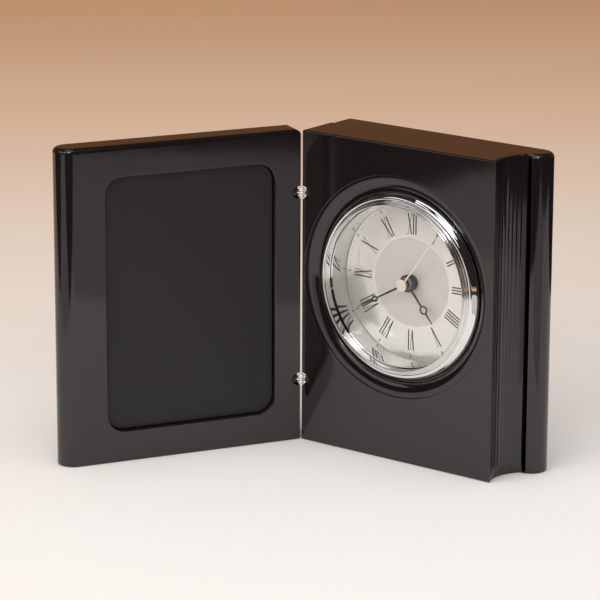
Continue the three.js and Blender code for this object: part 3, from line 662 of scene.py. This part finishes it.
def rounded_rectangle(width, height, radius):
    """Outline of a rectangle with round corners, seen from the front as (across, up)."""
    points = []
    for quarter, (side, end) in enumerate(((1, 1), (-1, 1), (-1, -1), (1, -1))):
        centre = (side * (width / 2 - radius), end * (height / 2 - radius))
        start = quarter * pi / 2
        arc = turn_points(centre, radius, start, start + pi / 2, corner_steps)
        points += [point[0] for point in arc]
    return points


def tray(levels):
    """A closed shape from levels of (spread, depth) around the recess's outline."""
    outlines = []
    for spread, depth in levels:
        width, height = recess_width + 2 * spread, recess_height + 2 * spread
        outline = rounded_rectangle(width, height, recess_round + spread)
        outlines.append([(x, depth, z) for x, z in outline])
    return stack(outlines)


def recess_levels():
    """The recess in the cover: a soft rim, a straight wall and a small hollow at its floor."""
    rounding = edge_levels(recess_soft)
    foot = [(-inset, recess_depth - rise) for inset, rise in reversed(rounding)]
    return [(recess_soft, -overrun), *rounding, *foot]


front_start = turn_points((spine_round, spine_round), spine_round, pi, 1.5 * pi, spine_steps)
front_board = board(cover_points(front_start), book_height, cover_top_round)
front_cover = raw_object("lacquered_front_cover", front_board)
carve(front_cover, raw_object("recess_cutter", tray(recess_levels()), to_recess))
turn_over = Matrix.Scale(-1, 4, (0, 1, 0))
to_inner_face = Matrix.Translation((leaf_gap / 2, -leaf_gap / 2, 0)) @ turn_over
front_cover.data.transform(to_inner_face)
mend(front_cover.data)
carve(front_cover, *barrel_cutters(-pi / 4, Matrix.Identity(4)))
front_cover.data.transform(to_cover)
polish(front_cover)
fit(front_cover, lacquer_material, "cover", "lacquered_wood", "front_cover")


# Engraving plate
# A thin sheet of satin black metal with rounded corners, bare for an engraving. It is stuck
# to the floor of the recess with a small gap all round.
plate_gap = 0.3 * MM
plate_thickness = 0.9 * MM
plate_soft = 0.15 * MM
plate_dark = (0.0135, 0.0125, 0.0117)
plate_light = (0.0175, 0.0165, 0.0155)


def plate_levels():
    """The plate from its back to its softened front edge, as (spread, depth)."""
    back = recess_depth - plate_gap
    front = back - plate_thickness
    return [
        (-plate_gap, back),
        (-plate_gap, front + plate_soft),
        (-plate_gap - plate_soft / 3, front + plate_soft / 3),
        (-plate_gap - plate_soft, front),
    ]


engraving_plate = raw_object("satin_plate", tray(plate_levels()), to_recess)
engraving_plate.data.transform(to_cover @ to_inner_face)
mend(engraving_plate.data)
polish(engraving_plate)
satin = Finish("satin_black")
brushing = satin.noise(satin.stretched((1.0, 1.0, 90.0)), scale=60)
satin.coat(
    base_color=satin.blend(brushing, plate_dark, plate_light),
    roughness=0.5 + 0.08 * brushing,
    metallic=0.15,
    normal=satin.bump(brushing, distance=0.00001, strength=0.2),
)
fit(engraving_plate, satin.close(), "cover", "plate_metal", "engraving_plate")


# Hinges
# Two barrel hinges are pressed into drilled holes at the spine. Each half is a blackened barrel
# that narrows to the fold, with knuckles of polished nickel on narrow necks, and a pin with
# domed ends holds the halves together on the fold.
nickel_material = mottled(
    "polished_nickel", (0.90, 0.89, 0.88), (0.96, 0.95, 0.94),
    scale=900, roughness=0.16, uneven=0.10, detail=3.0, metallic=0.5,
)
black_nickel_material = mottled(
    "black_nickel", (0.030, 0.028, 0.027), (0.060, 0.056, 0.054),
    scale=1100, roughness=0.3, uneven=0.15, detail=3.0, metallic=0.6,
)
barrel_nose = 1.6 * MM
barrel_nose_radius = 1.1 * MM
barrel_shoulder = 2.95 * MM
knuckle_radius = 1.3 * MM
knuckle_soft = 0.25 * MM
knuckle_top = 0.4 * MM
knuckle_gap = 0.25 * MM
outer_foot = knuckle_top + knuckle_gap
outer_top = outer_foot + 2 * knuckle_top
neck_half = 0.8 * MM
pin_hole = 0.7 * MM
pin_hole_soft = 0.1 * MM
pin_radius = 0.6 * MM
pin_top = (pin_high.z - pin_low.z) / 2
dome_gap = 0.1 * MM
dome_foot = outer_top + dome_gap
dome_radius = 1.2 * MM
dome_steps = 8
upright_lathe = Matrix.Rotation(pi / 2, 4, "X")


def drum(radius, foot, top, soft):
    """A round piece with softened edges about the Z axis."""
    rounding = edge_levels(soft, fine_steps)
    profile = [(0, foot)]
    profile += [(radius - inset, foot + rise) for inset, rise in rounding]
    profile += [(radius - inset, top - rise) for inset, rise in reversed(rounding)]
    profile.append((0, top))
    return lathe(profile, barrel_sides)


def neck_block(low, high):
    """A plain block between two corners."""
    foot = rectangle(low[0], high[0], low[1], high[1])
    return stack([[(x, y, level) for x, y in foot] for level in (low[2], high[2])])


def tapered_barrel():
    """A barrel about the Z axis whose end narrows towards the fold."""
    profile = [(0, barrel_nose), (barrel_nose_radius, barrel_nose)]
    profile += [(barrel_radius, barrel_shoulder), (barrel_radius, barrel_end), (0, barrel_end)]
    return lathe(profile, barrel_sides)


def hinge_half(name, body, knuckles, place):
    """A dark barrel along X and the bright knuckles on their necks, set down at a place."""
    to_x = Matrix.Rotation(pi / 2, 4, "Y")
    barrel = raw_object(f"{name}_{body}_barrel", tapered_barrel(), place @ to_x @ upright_lathe)
    polish(barrel, sharp=radians(35))
    fit(barrel, black_nickel_material, body, "hinge_nickel", f"{name}_hinge_{body}_half")
    added = []
    for foot, top in knuckles:
        knuckle = drum(knuckle_radius, foot, top, knuckle_soft)
        added.append(raw_object("knuckle", knuckle, upright_lathe))
        neck_foot, neck_top = foot + knuckle_soft / 2, top - knuckle_soft / 2
        neck = neck_block((0, -neck_half, neck_foot), (barrel_shoulder, neck_half, neck_top))
        added.append(raw_object("neck", neck))
    made = added.pop(0)
    made.name = f"{name}_{body}_knuckles"
    carve(made, *added, operation="UNION")
    hole = drum(pin_hole, -barrel_radius, barrel_radius, pin_hole_soft)
    carve(made, raw_object("hole", hole, upright_lathe))
    made.data.transform(place)
    polish(made, sharp=radians(35))
    fit(made, nickel_material, body, "hinge_nickel")


def domed_pin(piece, place):
    """A pin with a domed head at each end."""
    half = [(pin_radius, dome_foot)]
    for step in range(dome_steps):
        angle = pi / 2 * step / dome_steps
        half.append((dome_radius * cos(angle), dome_foot + (pin_top - dome_foot) * sin(angle)))
    half.append((0, pin_top))
    profile = [(radius, -level) for radius, level in reversed(half)] + half
    made = raw_object(piece, lathe(profile, barrel_sides), place @ upright_lathe)
    polish(made, sharp=radians(50))
    return made


for name in hinge_names:
    height = Matrix.Translation((0, 0, hinge_heights[name]))
    fixed_place = to_fold @ height @ Matrix.Rotation(pi / 4, 4, "Z")
    outer_pair = [(-outer_top, -outer_foot), (outer_foot, outer_top)]
    hinge_half(name, "block", outer_pair, fixed_place)
    folding_place = to_cover @ height @ Matrix.Rotation(-pi / 4, 4, "Z")
    middle = [(-knuckle_top, knuckle_top)]
    hinge_half(name, "cover", middle, folding_place)
    pin = domed_pin(f"{name}_nickel_pin", to_fold @ height)
    fit(pin, nickel_material, "block", "hinge_nickel", f"{name}_hinge_pin")


# Bezel
# A turned brass ring with a chromed, mirror-bright face: an inner lip, a bead behind it and a
# long hollow slope down to the wood. The press-in insert hangs on it.
opening_radius = 34.3 * MM
lip_back = 0.6 * MM
bezel_edge = 39.7 * MM
bezel_back = 3.1 * MM
sleeve_outer = 36.0 * MM
sleeve_inner = 35.3 * MM
bezel_steps = 5
# radius and depth in millimetres, from the lip out to the wood
bezel_shape = (
    (34.30, -2.10), (34.36, -2.30), (34.52, -2.40), (34.74, -2.38), (34.90, -2.22),
    (34.96, -1.95), (34.98, -1.50), (35.06, -1.30), (35.20, -1.26), (35.34, -1.36),
    (35.50, -1.44), (35.68, -1.38), (35.80, -1.18), (35.84, -0.80), (35.88, -0.30),
    (35.98, -0.10), (36.14, -0.08), (36.36, -0.22), (36.75, -0.36), (37.20, -0.34),
    (37.60, -0.18), (37.95, 0.10), (38.30, 0.50), (38.75, 1.00), (39.20, 1.62),
    (39.52, 2.25), (39.68, 2.90),
)


def smooth_line(points, steps):
    """A smooth line through points, ends included."""
    made = []
    padded = [points[0], *points, points[-1]]
    for before, start, end, after in zip(padded, padded[1:], padded[2:], padded[3:]):
        for step in range(steps):
            part = step / steps
            place = []
            for axis in range(2):
                slope_in = (end[axis] - before[axis]) / 2
                slope_out = (after[axis] - start[axis]) / 2
                square, cube = part**2, part**3
                value = (2 * cube - 3 * square + 1) * start[axis]
                value += (cube - 2 * square + part) * slope_in
                value += (3 * square - 2 * cube) * end[axis]
                value += (cube - square) * slope_out
                place.append(value)
            made.append(tuple(place))
    made.append(points[-1])
    return made


bezel_line = smooth_line(bezel_shape, bezel_steps)
bezel_profile = [
    (opening_radius, lip_back),
    *((radius * MM, depth * MM) for radius, depth in bezel_line),
    (bezel_edge, bezel_back),
    (sleeve_outer, bezel_back),
    (sleeve_outer, sleeve_back),
    (sleeve_inner, sleeve_back),
    (sleeve_inner, lip_back),
]
bezel = turned("chrome_bezel", bezel_profile, sharp=radians(50))
chrome_material = mottled(
    "polished_chrome", (0.80, 0.80, 0.80), (0.87, 0.87, 0.86),
    scale=220, roughness=0.02, uneven=0.05, detail=3.0, metallic=1.0,
)
fit(bezel, chrome_material, "block", "bezel_chrome", "bezel_ring")


# Glass
# A flat clear disc of mineral glass with a ground edge, held between bezel and reflector.
lens_radius, lens_front, lens_back = round_part("lens")
lens_soft = 0.2 * MM
lens_profile = [
    (0, lens_front),
    (lens_radius - lens_soft, lens_front),
    (lens_radius, lens_front + lens_soft),
    (lens_radius, lens_back - lens_soft),
    (lens_radius - lens_soft, lens_back),
    (0, lens_back),
]
glass_disc = turned("clear_glass", lens_profile)
glass = Finish("clear_glass")
smear = glass.noise(glass.place(), scale=60)
clear = glass.node("ShaderNodeBsdfTransparent", {"Color": (0.985, 0.99, 0.985)})
glass.coat(base_color=(1, 1, 1), metallic=1.0, roughness=0.02 * smear)
edge_on = glass.node("ShaderNodeFresnel", {"IOR": 1.3})
glass.body = glass.node("ShaderNodeMixShader", {0: edge_on, 1: clear, 2: glass.body})
fit(glass_disc, glass.close(), "block", "lens_glass", "lens")


# Reflector ring
# A thin drawn ring that narrows a little from the glass to the dial, silvered inside so that
# it mirrors the numerals.
_, mirror_front, mirror_back = round_part("reflector_ring")
mirror_mouth = 34.2 * MM
mirror_inner = 33.2 * MM
mirror_wall = 0.35 * MM
mirror_flange = 0.8 * MM
mirror_soft = 0.15 * MM
mirror_profile = [
    (mirror_mouth, mirror_front),
    (lens_radius, mirror_front),
    (lens_radius, mirror_front + mirror_flange),
    (mirror_mouth + mirror_wall, mirror_front + mirror_flange),
    (mirror_inner + mirror_wall, mirror_back),
    (mirror_inner + mirror_soft, mirror_back),
    (mirror_inner, mirror_back - mirror_soft),
]
reflector = turned("silvered_reflector", mirror_profile)
silvering = Finish("silvering")
breath = silvering.noise(silvering.stretched((1.0, 0.2, 1.0)), scale=300)
silvering.coat(
    base_color=silvering.blend(breath, (0.86, 0.86, 0.85), (0.92, 0.92, 0.91)),
    metallic=1.0,
    roughness=0.02 + 0.06 * breath,
)
fit(reflector, silvering.close(), "block", "reflector_mirror", "reflector_ring")


# Dial
# A disc of silvered aluminium, brushed outside and finely grained within a bright ring. The
# roman numerals, tracks and ring are printed on it, and a nut holds it on the movement.
dial_radius, dial_front, dial_back = round_part("dial")
dial_hole = 3.0 * MM
grey_radius = 18.9 * MM
grey_blur = 0.1 * MM
print_height = 0.03 * MM
dial = turned("silvered_dial", rectangle(dial_hole, dial_radius, dial_front, dial_back))
silver = Finish("brushed_silver")
from_middle = silver.vector("SUBTRACT", silver.place(), tuple(dial_middle))
on_dial = silver.vector("MULTIPLY", from_middle, (1, 0, 1))
from_axis = silver.vector("LENGTH", on_dial, output="Value")
inside = 1.0 - from_axis.rise(grey_radius - grey_blur, grey_radius + grey_blur)
strokes = silver.noise(silver.stretched((1.0, 1.0, 60.0)), scale=90, detail=3.0)
grain = silver.noise(silver.place(), scale=2600)
light_silver = silver.blend(strokes, (0.90, 0.88, 0.865), (0.97, 0.955, 0.94))
grey_silver = silver.blend(grain, (0.72, 0.68, 0.665), (0.82, 0.78, 0.765))
silver.coat(
    base_color=silver.blend(inside, light_silver, grey_silver),
    metallic=0.55 - 0.35 * inside,
    roughness=0.18 + 0.08 * strokes + 0.18 * inside,
    normal=silver.bump(strokes + grain * inside, distance=0.000012, strength=0.25),
)
fit(dial, silver.close(), "block", "dial_silver", "dial")

ink_material = mottled(
    "black_ink", (0.010, 0.009, 0.009), (0.022, 0.020, 0.019),
    scale=1500, roughness=0.45, uneven=0,
)

numeral_inner = 20.3 * MM
numeral_outer = 28.9 * MM
thick_stroke = 0.56 * MM
thin_stroke = 0.22 * MM
serif_reach = 0.42 * MM
serif_height = 0.16 * MM
bar_advance = 1.20 * MM
v_width = 2.3 * MM
v_inset = 0.35 * MM
x_width = 2.6 * MM
x_inset = 0.4 * MM
numerals = ("XII", "I", "II", "III", "IIII", "V", "VI", "VII", "VIII", "IX", "X", "XI")


def letter_strokes(letter):
    """A letter's width, its strokes as (foot, share up, top, share up, width) and its serifs."""
    if letter == "I":
        middle = bar_advance / 2
        return bar_advance, [(middle, 0, middle, 1, thick_stroke)], [(middle, 0), (middle, 1)]
    if letter == "V":
        left, right, foot = v_inset, v_width - v_inset, v_width / 2
        lines = [(left, 1, foot, 0, thick_stroke), (right, 1, foot, 0, thin_stroke)]
        return v_width, lines, [(left, 1), (right, 1)]
    left, right = x_inset, x_width - x_inset
    lines = [(left, 1, right, 0, thick_stroke), (right, 1, left, 0, thin_stroke)]
    return x_width, lines, [(left, 0), (right, 0), (left, 1), (right, 1)]


def print_box(corners):
    """A thin printed patch from four corners seen from the front."""
    depths = (dial_front, dial_front - print_height)
    return stack([[(x, depth, z) for x, z in corners] for depth in depths])


def numeral_patches(text):
    """The patches of a numeral, centred across and standing between its two circles."""
    width = sum(letter_strokes(letter)[0] for letter in text)
    height = numeral_outer - numeral_inner
    start = -width / 2
    patches = []
    for letter in text:
        advance, lines, serifs = letter_strokes(letter)
        for x0, y0, x1, y1, stroke in lines:
            foot, top = numeral_inner + y0 * height, numeral_inner + y1 * height
            half = stroke / 2
            corners = [(start + x0 - half, foot), (start + x0 + half, foot)]
            corners += [(start + x1 + half, top), (start + x1 - half, top)]
            patches.append(corners)
        for x, y in serifs:
            low = numeral_inner if y == 0 else numeral_outer - serif_height
            left, right = start + x - serif_reach, start + x + serif_reach
            patches.append(rectangle(left, right, low, low + serif_height))
        start += advance
    return patches


numeral_vertices, numeral_faces = [], []
for hour, text in enumerate(numerals):
    turn = 2 * pi * hour / len(numerals)
    along, over = cos(turn), sin(turn)
    for corners in numeral_patches(text):
        placed = [(x * along + z * over, z * along - x * over) for x, z in corners]
        patch_vertices, patch_faces = print_box(placed)
        base = len(numeral_vertices)
        numeral_vertices += patch_vertices
        numeral_faces += [tuple(base + index for index in patch) for patch in patch_faces]
numeral_print = raw_object("numerals", (numeral_vertices, numeral_faces), to_insert)
fit(numeral_print, ink_material, "block", "hand_black")


def ring_repeat(name, blank, count, material):
    """Copies a blank evenly round the dial's axis with a small node tree."""
    tree = bpy.data.node_groups.new(name, "GeometryNodeTree")
    sockets, nodes = tree.interface, tree.nodes
    sockets.new_socket("Geometry", in_out="INPUT", socket_type="NodeSocketGeometry")
    count_input = sockets.new_socket("Count", in_out="INPUT", socket_type="NodeSocketInt")
    step_input = sockets.new_socket("Step", in_out="INPUT", socket_type="NodeSocketFloat")
    sockets.new_socket("Geometry", in_out="OUTPUT", socket_type="NodeSocketGeometry")
    source = nodes.new("NodeGroupInput")
    points = nodes.new("GeometryNodePoints")
    index = nodes.new("GeometryNodeInputIndex")
    angle = nodes.new("ShaderNodeMath")
    angle.operation = "MULTIPLY"
    turn = nodes.new("ShaderNodeCombineXYZ")
    copies = nodes.new("GeometryNodeInstanceOnPoints")
    real = nodes.new("GeometryNodeRealizeInstances")
    finish = nodes.new("GeometryNodeSetMaterial")
    finish.inputs["Material"].default_value = material
    result = nodes.new("NodeGroupOutput")
    for start, end in (
        (source.outputs["Count"], points.inputs["Count"]),
        (index.outputs[0], angle.inputs[0]),
        (source.outputs["Step"], angle.inputs[1]),
        (angle.outputs[0], turn.inputs["Y"]),
        (points.outputs[0], copies.inputs["Points"]),
        (source.outputs["Geometry"], copies.inputs["Instance"]),
        (turn.outputs[0], copies.inputs["Rotation"]),
        (copies.outputs[0], real.inputs[0]),
        (real.outputs[0], finish.inputs["Geometry"]),
        (finish.outputs[0], result.inputs[0]),
    ):
        tree.links.new(start, end)
    repeat = blank.modifiers.new(name, "NODES")
    repeat.node_group = tree
    repeat[count_input.identifier] = count
    repeat[step_input.identifier] = 2 * pi / count
    settle(blank)


def track(name, inner, outer, width, count):
    """A track of small printed bars between two circles."""
    blank = raw_object(name, print_box(rectangle(-width / 2, width / 2, inner, outer)))
    ring_repeat(name, blank, count, ink_material)
    blank.data.transform(to_insert)
    fit(blank, ink_material, "block", "hand_black")


track("minute_track", inner=31.55 * MM, outer=32.15 * MM, width=0.14 * MM, count=60)
track("five_minute_marks", inner=30.9 * MM, outer=32.2 * MM, width=0.44 * MM, count=12)

ring_half = 0.20 * MM
ring_rise = 0.05 * MM
bright_profile = [
    (grey_radius - ring_half, dial_front),
    (grey_radius - ring_half + ring_rise, dial_front - ring_rise),
    (grey_radius + ring_half - ring_rise, dial_front - ring_rise),
    (grey_radius + ring_half, dial_front),
]
bright_ring = turned("bright_ring", bright_profile, sharp=radians(60))
white_print = mottled(
    "white_print", (0.93, 0.92, 0.91), (0.97, 0.965, 0.96),
    scale=1500, roughness=0.35, uneven=0.1,
)
fit(bright_ring, white_print, "block", "dial_silver")

blacking_material = mottled(
    "black_enamel", (0.010, 0.009, 0.009), (0.020, 0.018, 0.017),
    scale=800, roughness=0.22, uneven=0.12, metallic=0.2,
)
dress(blacking_material, "dial_nut")


# Hands
# Stamped and pierced hour and minute hands in black enamel, the hour hand on a steel collet, a
# fine white second hand and a cream cap over the middle. Each is pressed on the pipe or arbor
# that turns it.
shown_hour, shown_minute, shown_second = 4, 40.1, 6
hour_turn = radians(30 * (shown_hour + shown_minute / 60))
minute_turn = radians(6 * shown_minute)
second_turn = radians(6 * shown_second)
hand_sides = 24
hand_soft = 0.05 * MM


def arc_line(centre_up, radius, start, end, steps):
    """Points of an arc seen from the front, its angles clockwise from the top."""
    made = []
    for step in range(steps + 1):
        angle = start + (end - start) * step / steps
        made.append((radius * sin(angle), centre_up + radius * cos(angle)))
    return made


def pierced_outline(hub, root, neck, eye_up, eye, length, tip):
    """Right half of the outline of a hand with an eye, from its foot to its point."""
    hub_angle = asin(root / 2 / hub)
    eye_foot = asin(neck / 2 / eye)
    right = arc_line(0, hub, pi, hub_angle, hand_sides)
    right += arc_line(eye_up, eye, pi - eye_foot, eye_foot, hand_sides)
    right += [(tip / 2, length)]
    return right


def flat_hand(node, name, right, holes, turn):
    """A flat hand from the right half of its outline, with round holes and softened edges."""
    low, high = (corner.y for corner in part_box(node))
    left = [(-x, y) for x, y in reversed(right) if x > 1e-6]
    line = bpy.data.curves.new(name, "CURVE")
    line.dimensions = "2D"
    line.fill_mode = "BOTH"
    outlines = [right + left]
    for up_by, radius in holes:
        outlines.append(arc_line(up_by, radius, 0, 2 * pi - 2 * pi / hand_sides, hand_sides - 1))
    for outline in outlines:
        spline = line.splines.new("POLY")
        spline.points.add(len(outline) - 1)
        spline.use_cyclic_u = True
        for point, (x, y) in zip(spline.points, outline):
            point.co = (x, y, 0, 1)
    line.extrude = (high - low) / 2 - hand_soft
    line.bevel_depth = hand_soft
    line.bevel_resolution = 1
    line.offset = -hand_soft
    drawn = show(name, line)
    mesh = finished_mesh(drawn)
    bpy.data.objects.remove(drawn)
    middle = Matrix.Translation((0, (low + high) / 2, dial_middle.z))
    mesh.transform(middle @ Matrix.Rotation(turn, 4, "Y") @ upright_lathe)
    mend(mesh)
    made = show(name, mesh)
    polish(made, sharp=radians(40))
    return made


hour_eye = 12.9 * MM
hour_line = pierced_outline(
    hub=3.7 * MM, root=1.1 * MM, neck=0.8 * MM,
    eye_up=hour_eye, eye=1.9 * MM, length=19.9 * MM, tip=0.3 * MM,
)
holes = [(0, 2.6 * MM), (hour_eye, 1.25 * MM)]
hour_hand = flat_hand("hour_hand", "pierced_hour_hand", hour_line, holes, hour_turn)
fit(hour_hand, blacking_material, "hour_arbor", "hand_black", "hour_hand")

collet_bore, collet_pipe = 1.30 * MM, 1.95 * MM
collet_chamfer, collet_rim = 2.40 * MM, 2.58 * MM
collet_front, collet_corner = 7.55 * MM, 7.70 * MM
collet_step, collet_back = 7.95 * MM, 8.30 * MM
collet_profile = [
    (collet_bore, collet_front),
    (collet_chamfer, collet_front),
    (collet_rim, collet_corner),
    (collet_rim, collet_back),
    (collet_pipe, collet_back),
    (collet_pipe, collet_step),
    (collet_bore, collet_step),
]
small_sides = 96
collet = turned("hour_collet", collet_profile, small_sides, sharp=radians(35))
collet_steel = mottled(
    "collet_steel", (0.46, 0.45, 0.44), (0.58, 0.57, 0.56),
    scale=1100, roughness=0.28, uneven=0.1, metallic=0.6,
)
fit(collet, collet_steel, "hour_arbor", "can_steel")

minute_eye = 17.2 * MM
minute_line = pierced_outline(
    hub=2.3 * MM, root=1.0 * MM, neck=0.7 * MM,
    eye_up=minute_eye, eye=1.4 * MM, length=26.8 * MM, tip=0.25 * MM,
)
holes = [(0, 1.3 * MM), (minute_eye, 0.9 * MM)]
minute_hand = flat_hand("minute_hand", "pierced_minute_hand", minute_line, holes, minute_turn)
fit(minute_hand, blacking_material, "minute_arbor", "hand_black", "minute_hand")

second_hub, second_length = 1.6 * MM, 28.3 * MM
second_root, second_tip = 0.60 * MM, 0.34 * MM
second_line = arc_line(0, second_hub, pi, asin(second_root / 2 / second_hub), hand_sides)
second_line.append((second_tip / 2, second_length))
second_hand = flat_hand("second_hand", "white_second_hand", second_line, [], second_turn)
white_paint = mottled(
    "white_paint", (0.90, 0.89, 0.87), (0.95, 0.94, 0.92),
    scale=900, roughness=0.35, uneven=0.1,
)
fit(second_hand, white_paint, "second_arbor", "hand_white", "second_hand")

cap_radius, cap_front, cap_back = round_part("second_hand_cap")
cap_soft = 0.35 * MM
cap_steps = 8
cap_profile = [(0, cap_front)]
for inset, rise in edge_levels(cap_soft, cap_steps):
    cap_profile.append((cap_radius - inset, cap_front + rise))
cap_profile += [(cap_radius, cap_back), (0, cap_back)]
cap = turned("cream_cap", cap_profile, small_sides, sharp=radians(40))
cream_enamel = mottled(
    "cream_enamel", (0.84, 0.72, 0.60), (0.92, 0.83, 0.73),
    scale=1200, roughness=0.3, uneven=0.1, detail=3.0,
)
fit(cap, cream_enamel, "second_arbor", "cap_cream", "second_hand_cap")


# Case and gasket
# A moulded black cup closes the insert behind the dial, a rubber band grips it in the bore,
# and a cap with a coin slot closes the cell's chamber beside the setting knob.
plastic = Finish("moulded_plastic")
texture = plastic.noise(plastic.place(), scale=2200, detail=3.0)
plastic.coat(
    base_color=plastic.blend(texture, (0.018, 0.018, 0.019), (0.030, 0.030, 0.032)),
    roughness=0.5 + 0.15 * texture,
    normal=plastic.bump(texture, distance=0.00002, strength=0.4),
)
moulded = ("insert_case", "battery_cap", "setting_knob", "movement_plate", "train_bridge")
dress(plastic.close(), *moulded)

band_rubber = mottled(
    "band_rubber", (0.012, 0.012, 0.012), (0.028, 0.027, 0.026),
    scale=500, roughness=0.85, uneven=0.1, detail=3.0,
)
dress(band_rubber, "gasket_ring")


# Movement
# Stamped brass wheels and turned pinions run between two plates, driven by a stepping motor
# of soft iron and a copper coil, a small board with a crystal, and a button cell.
stamped_brass = mottled(
    "stamped_brass", (0.56, 0.38, 0.14), (0.68, 0.49, 0.20),
    scale=700, roughness=0.22, uneven=0.16, detail=3.0, metallic=1.0,
)
dress(
    stamped_brass, "second_wheel", "third_wheel", "centre_wheel", "minute_wheel", "hour_wheel",
    "intermediate_wheel", "rotor_pinion",
)

copper = Finish("enamelled_copper")
winding = {"Vector": copper.place(), "Scale": 1600.0}
turns = copper.node("ShaderNodeTexWave", winding, {"bands_direction": "Z"})
copper.coat(
    base_color=copper.blend(turns, (0.36, 0.13, 0.05), (0.66, 0.30, 0.13)),
    metallic=0.8,
    roughness=0.3 + 0.1 * turns,
    normal=copper.bump(turns, distance=0.00004, strength=0.6),
)
dress(copper.close(), "coil")

soft_iron = mottled(
    "soft_iron", (0.34, 0.34, 0.36), (0.46, 0.46, 0.48),
    scale=1000, roughness=0.35, uneven=0.15, detail=3.0, metallic=0.9,
)
dress(soft_iron, "stator_plate", "coil_core", "rotor_magnet")

green_resist = mottled(
    "green_resist", (0.03, 0.16, 0.06), (0.05, 0.24, 0.10),
    scale=1400, roughness=0.4, uneven=0.1,
)
dress(green_resist, "circuit_board")

chip_epoxy = mottled(
    "chip_epoxy", (0.015, 0.015, 0.015), (0.035, 0.034, 0.033),
    scale=3000, roughness=0.6, uneven=0.1,
)
dress(chip_epoxy, "control_chip")

plain_steel = mottled(
    "plain_steel", (0.52, 0.52, 0.52), (0.66, 0.66, 0.65),
    scale=1200, roughness=0.25, uneven=0.15, detail=3.0, metallic=1.0,
)
dress(
    plain_steel, "bridge_screw_1", "bridge_screw_2", "bridge_screw_3", "quartz_crystal",
    "button_cell", "plus_contact", "minus_contact",
)
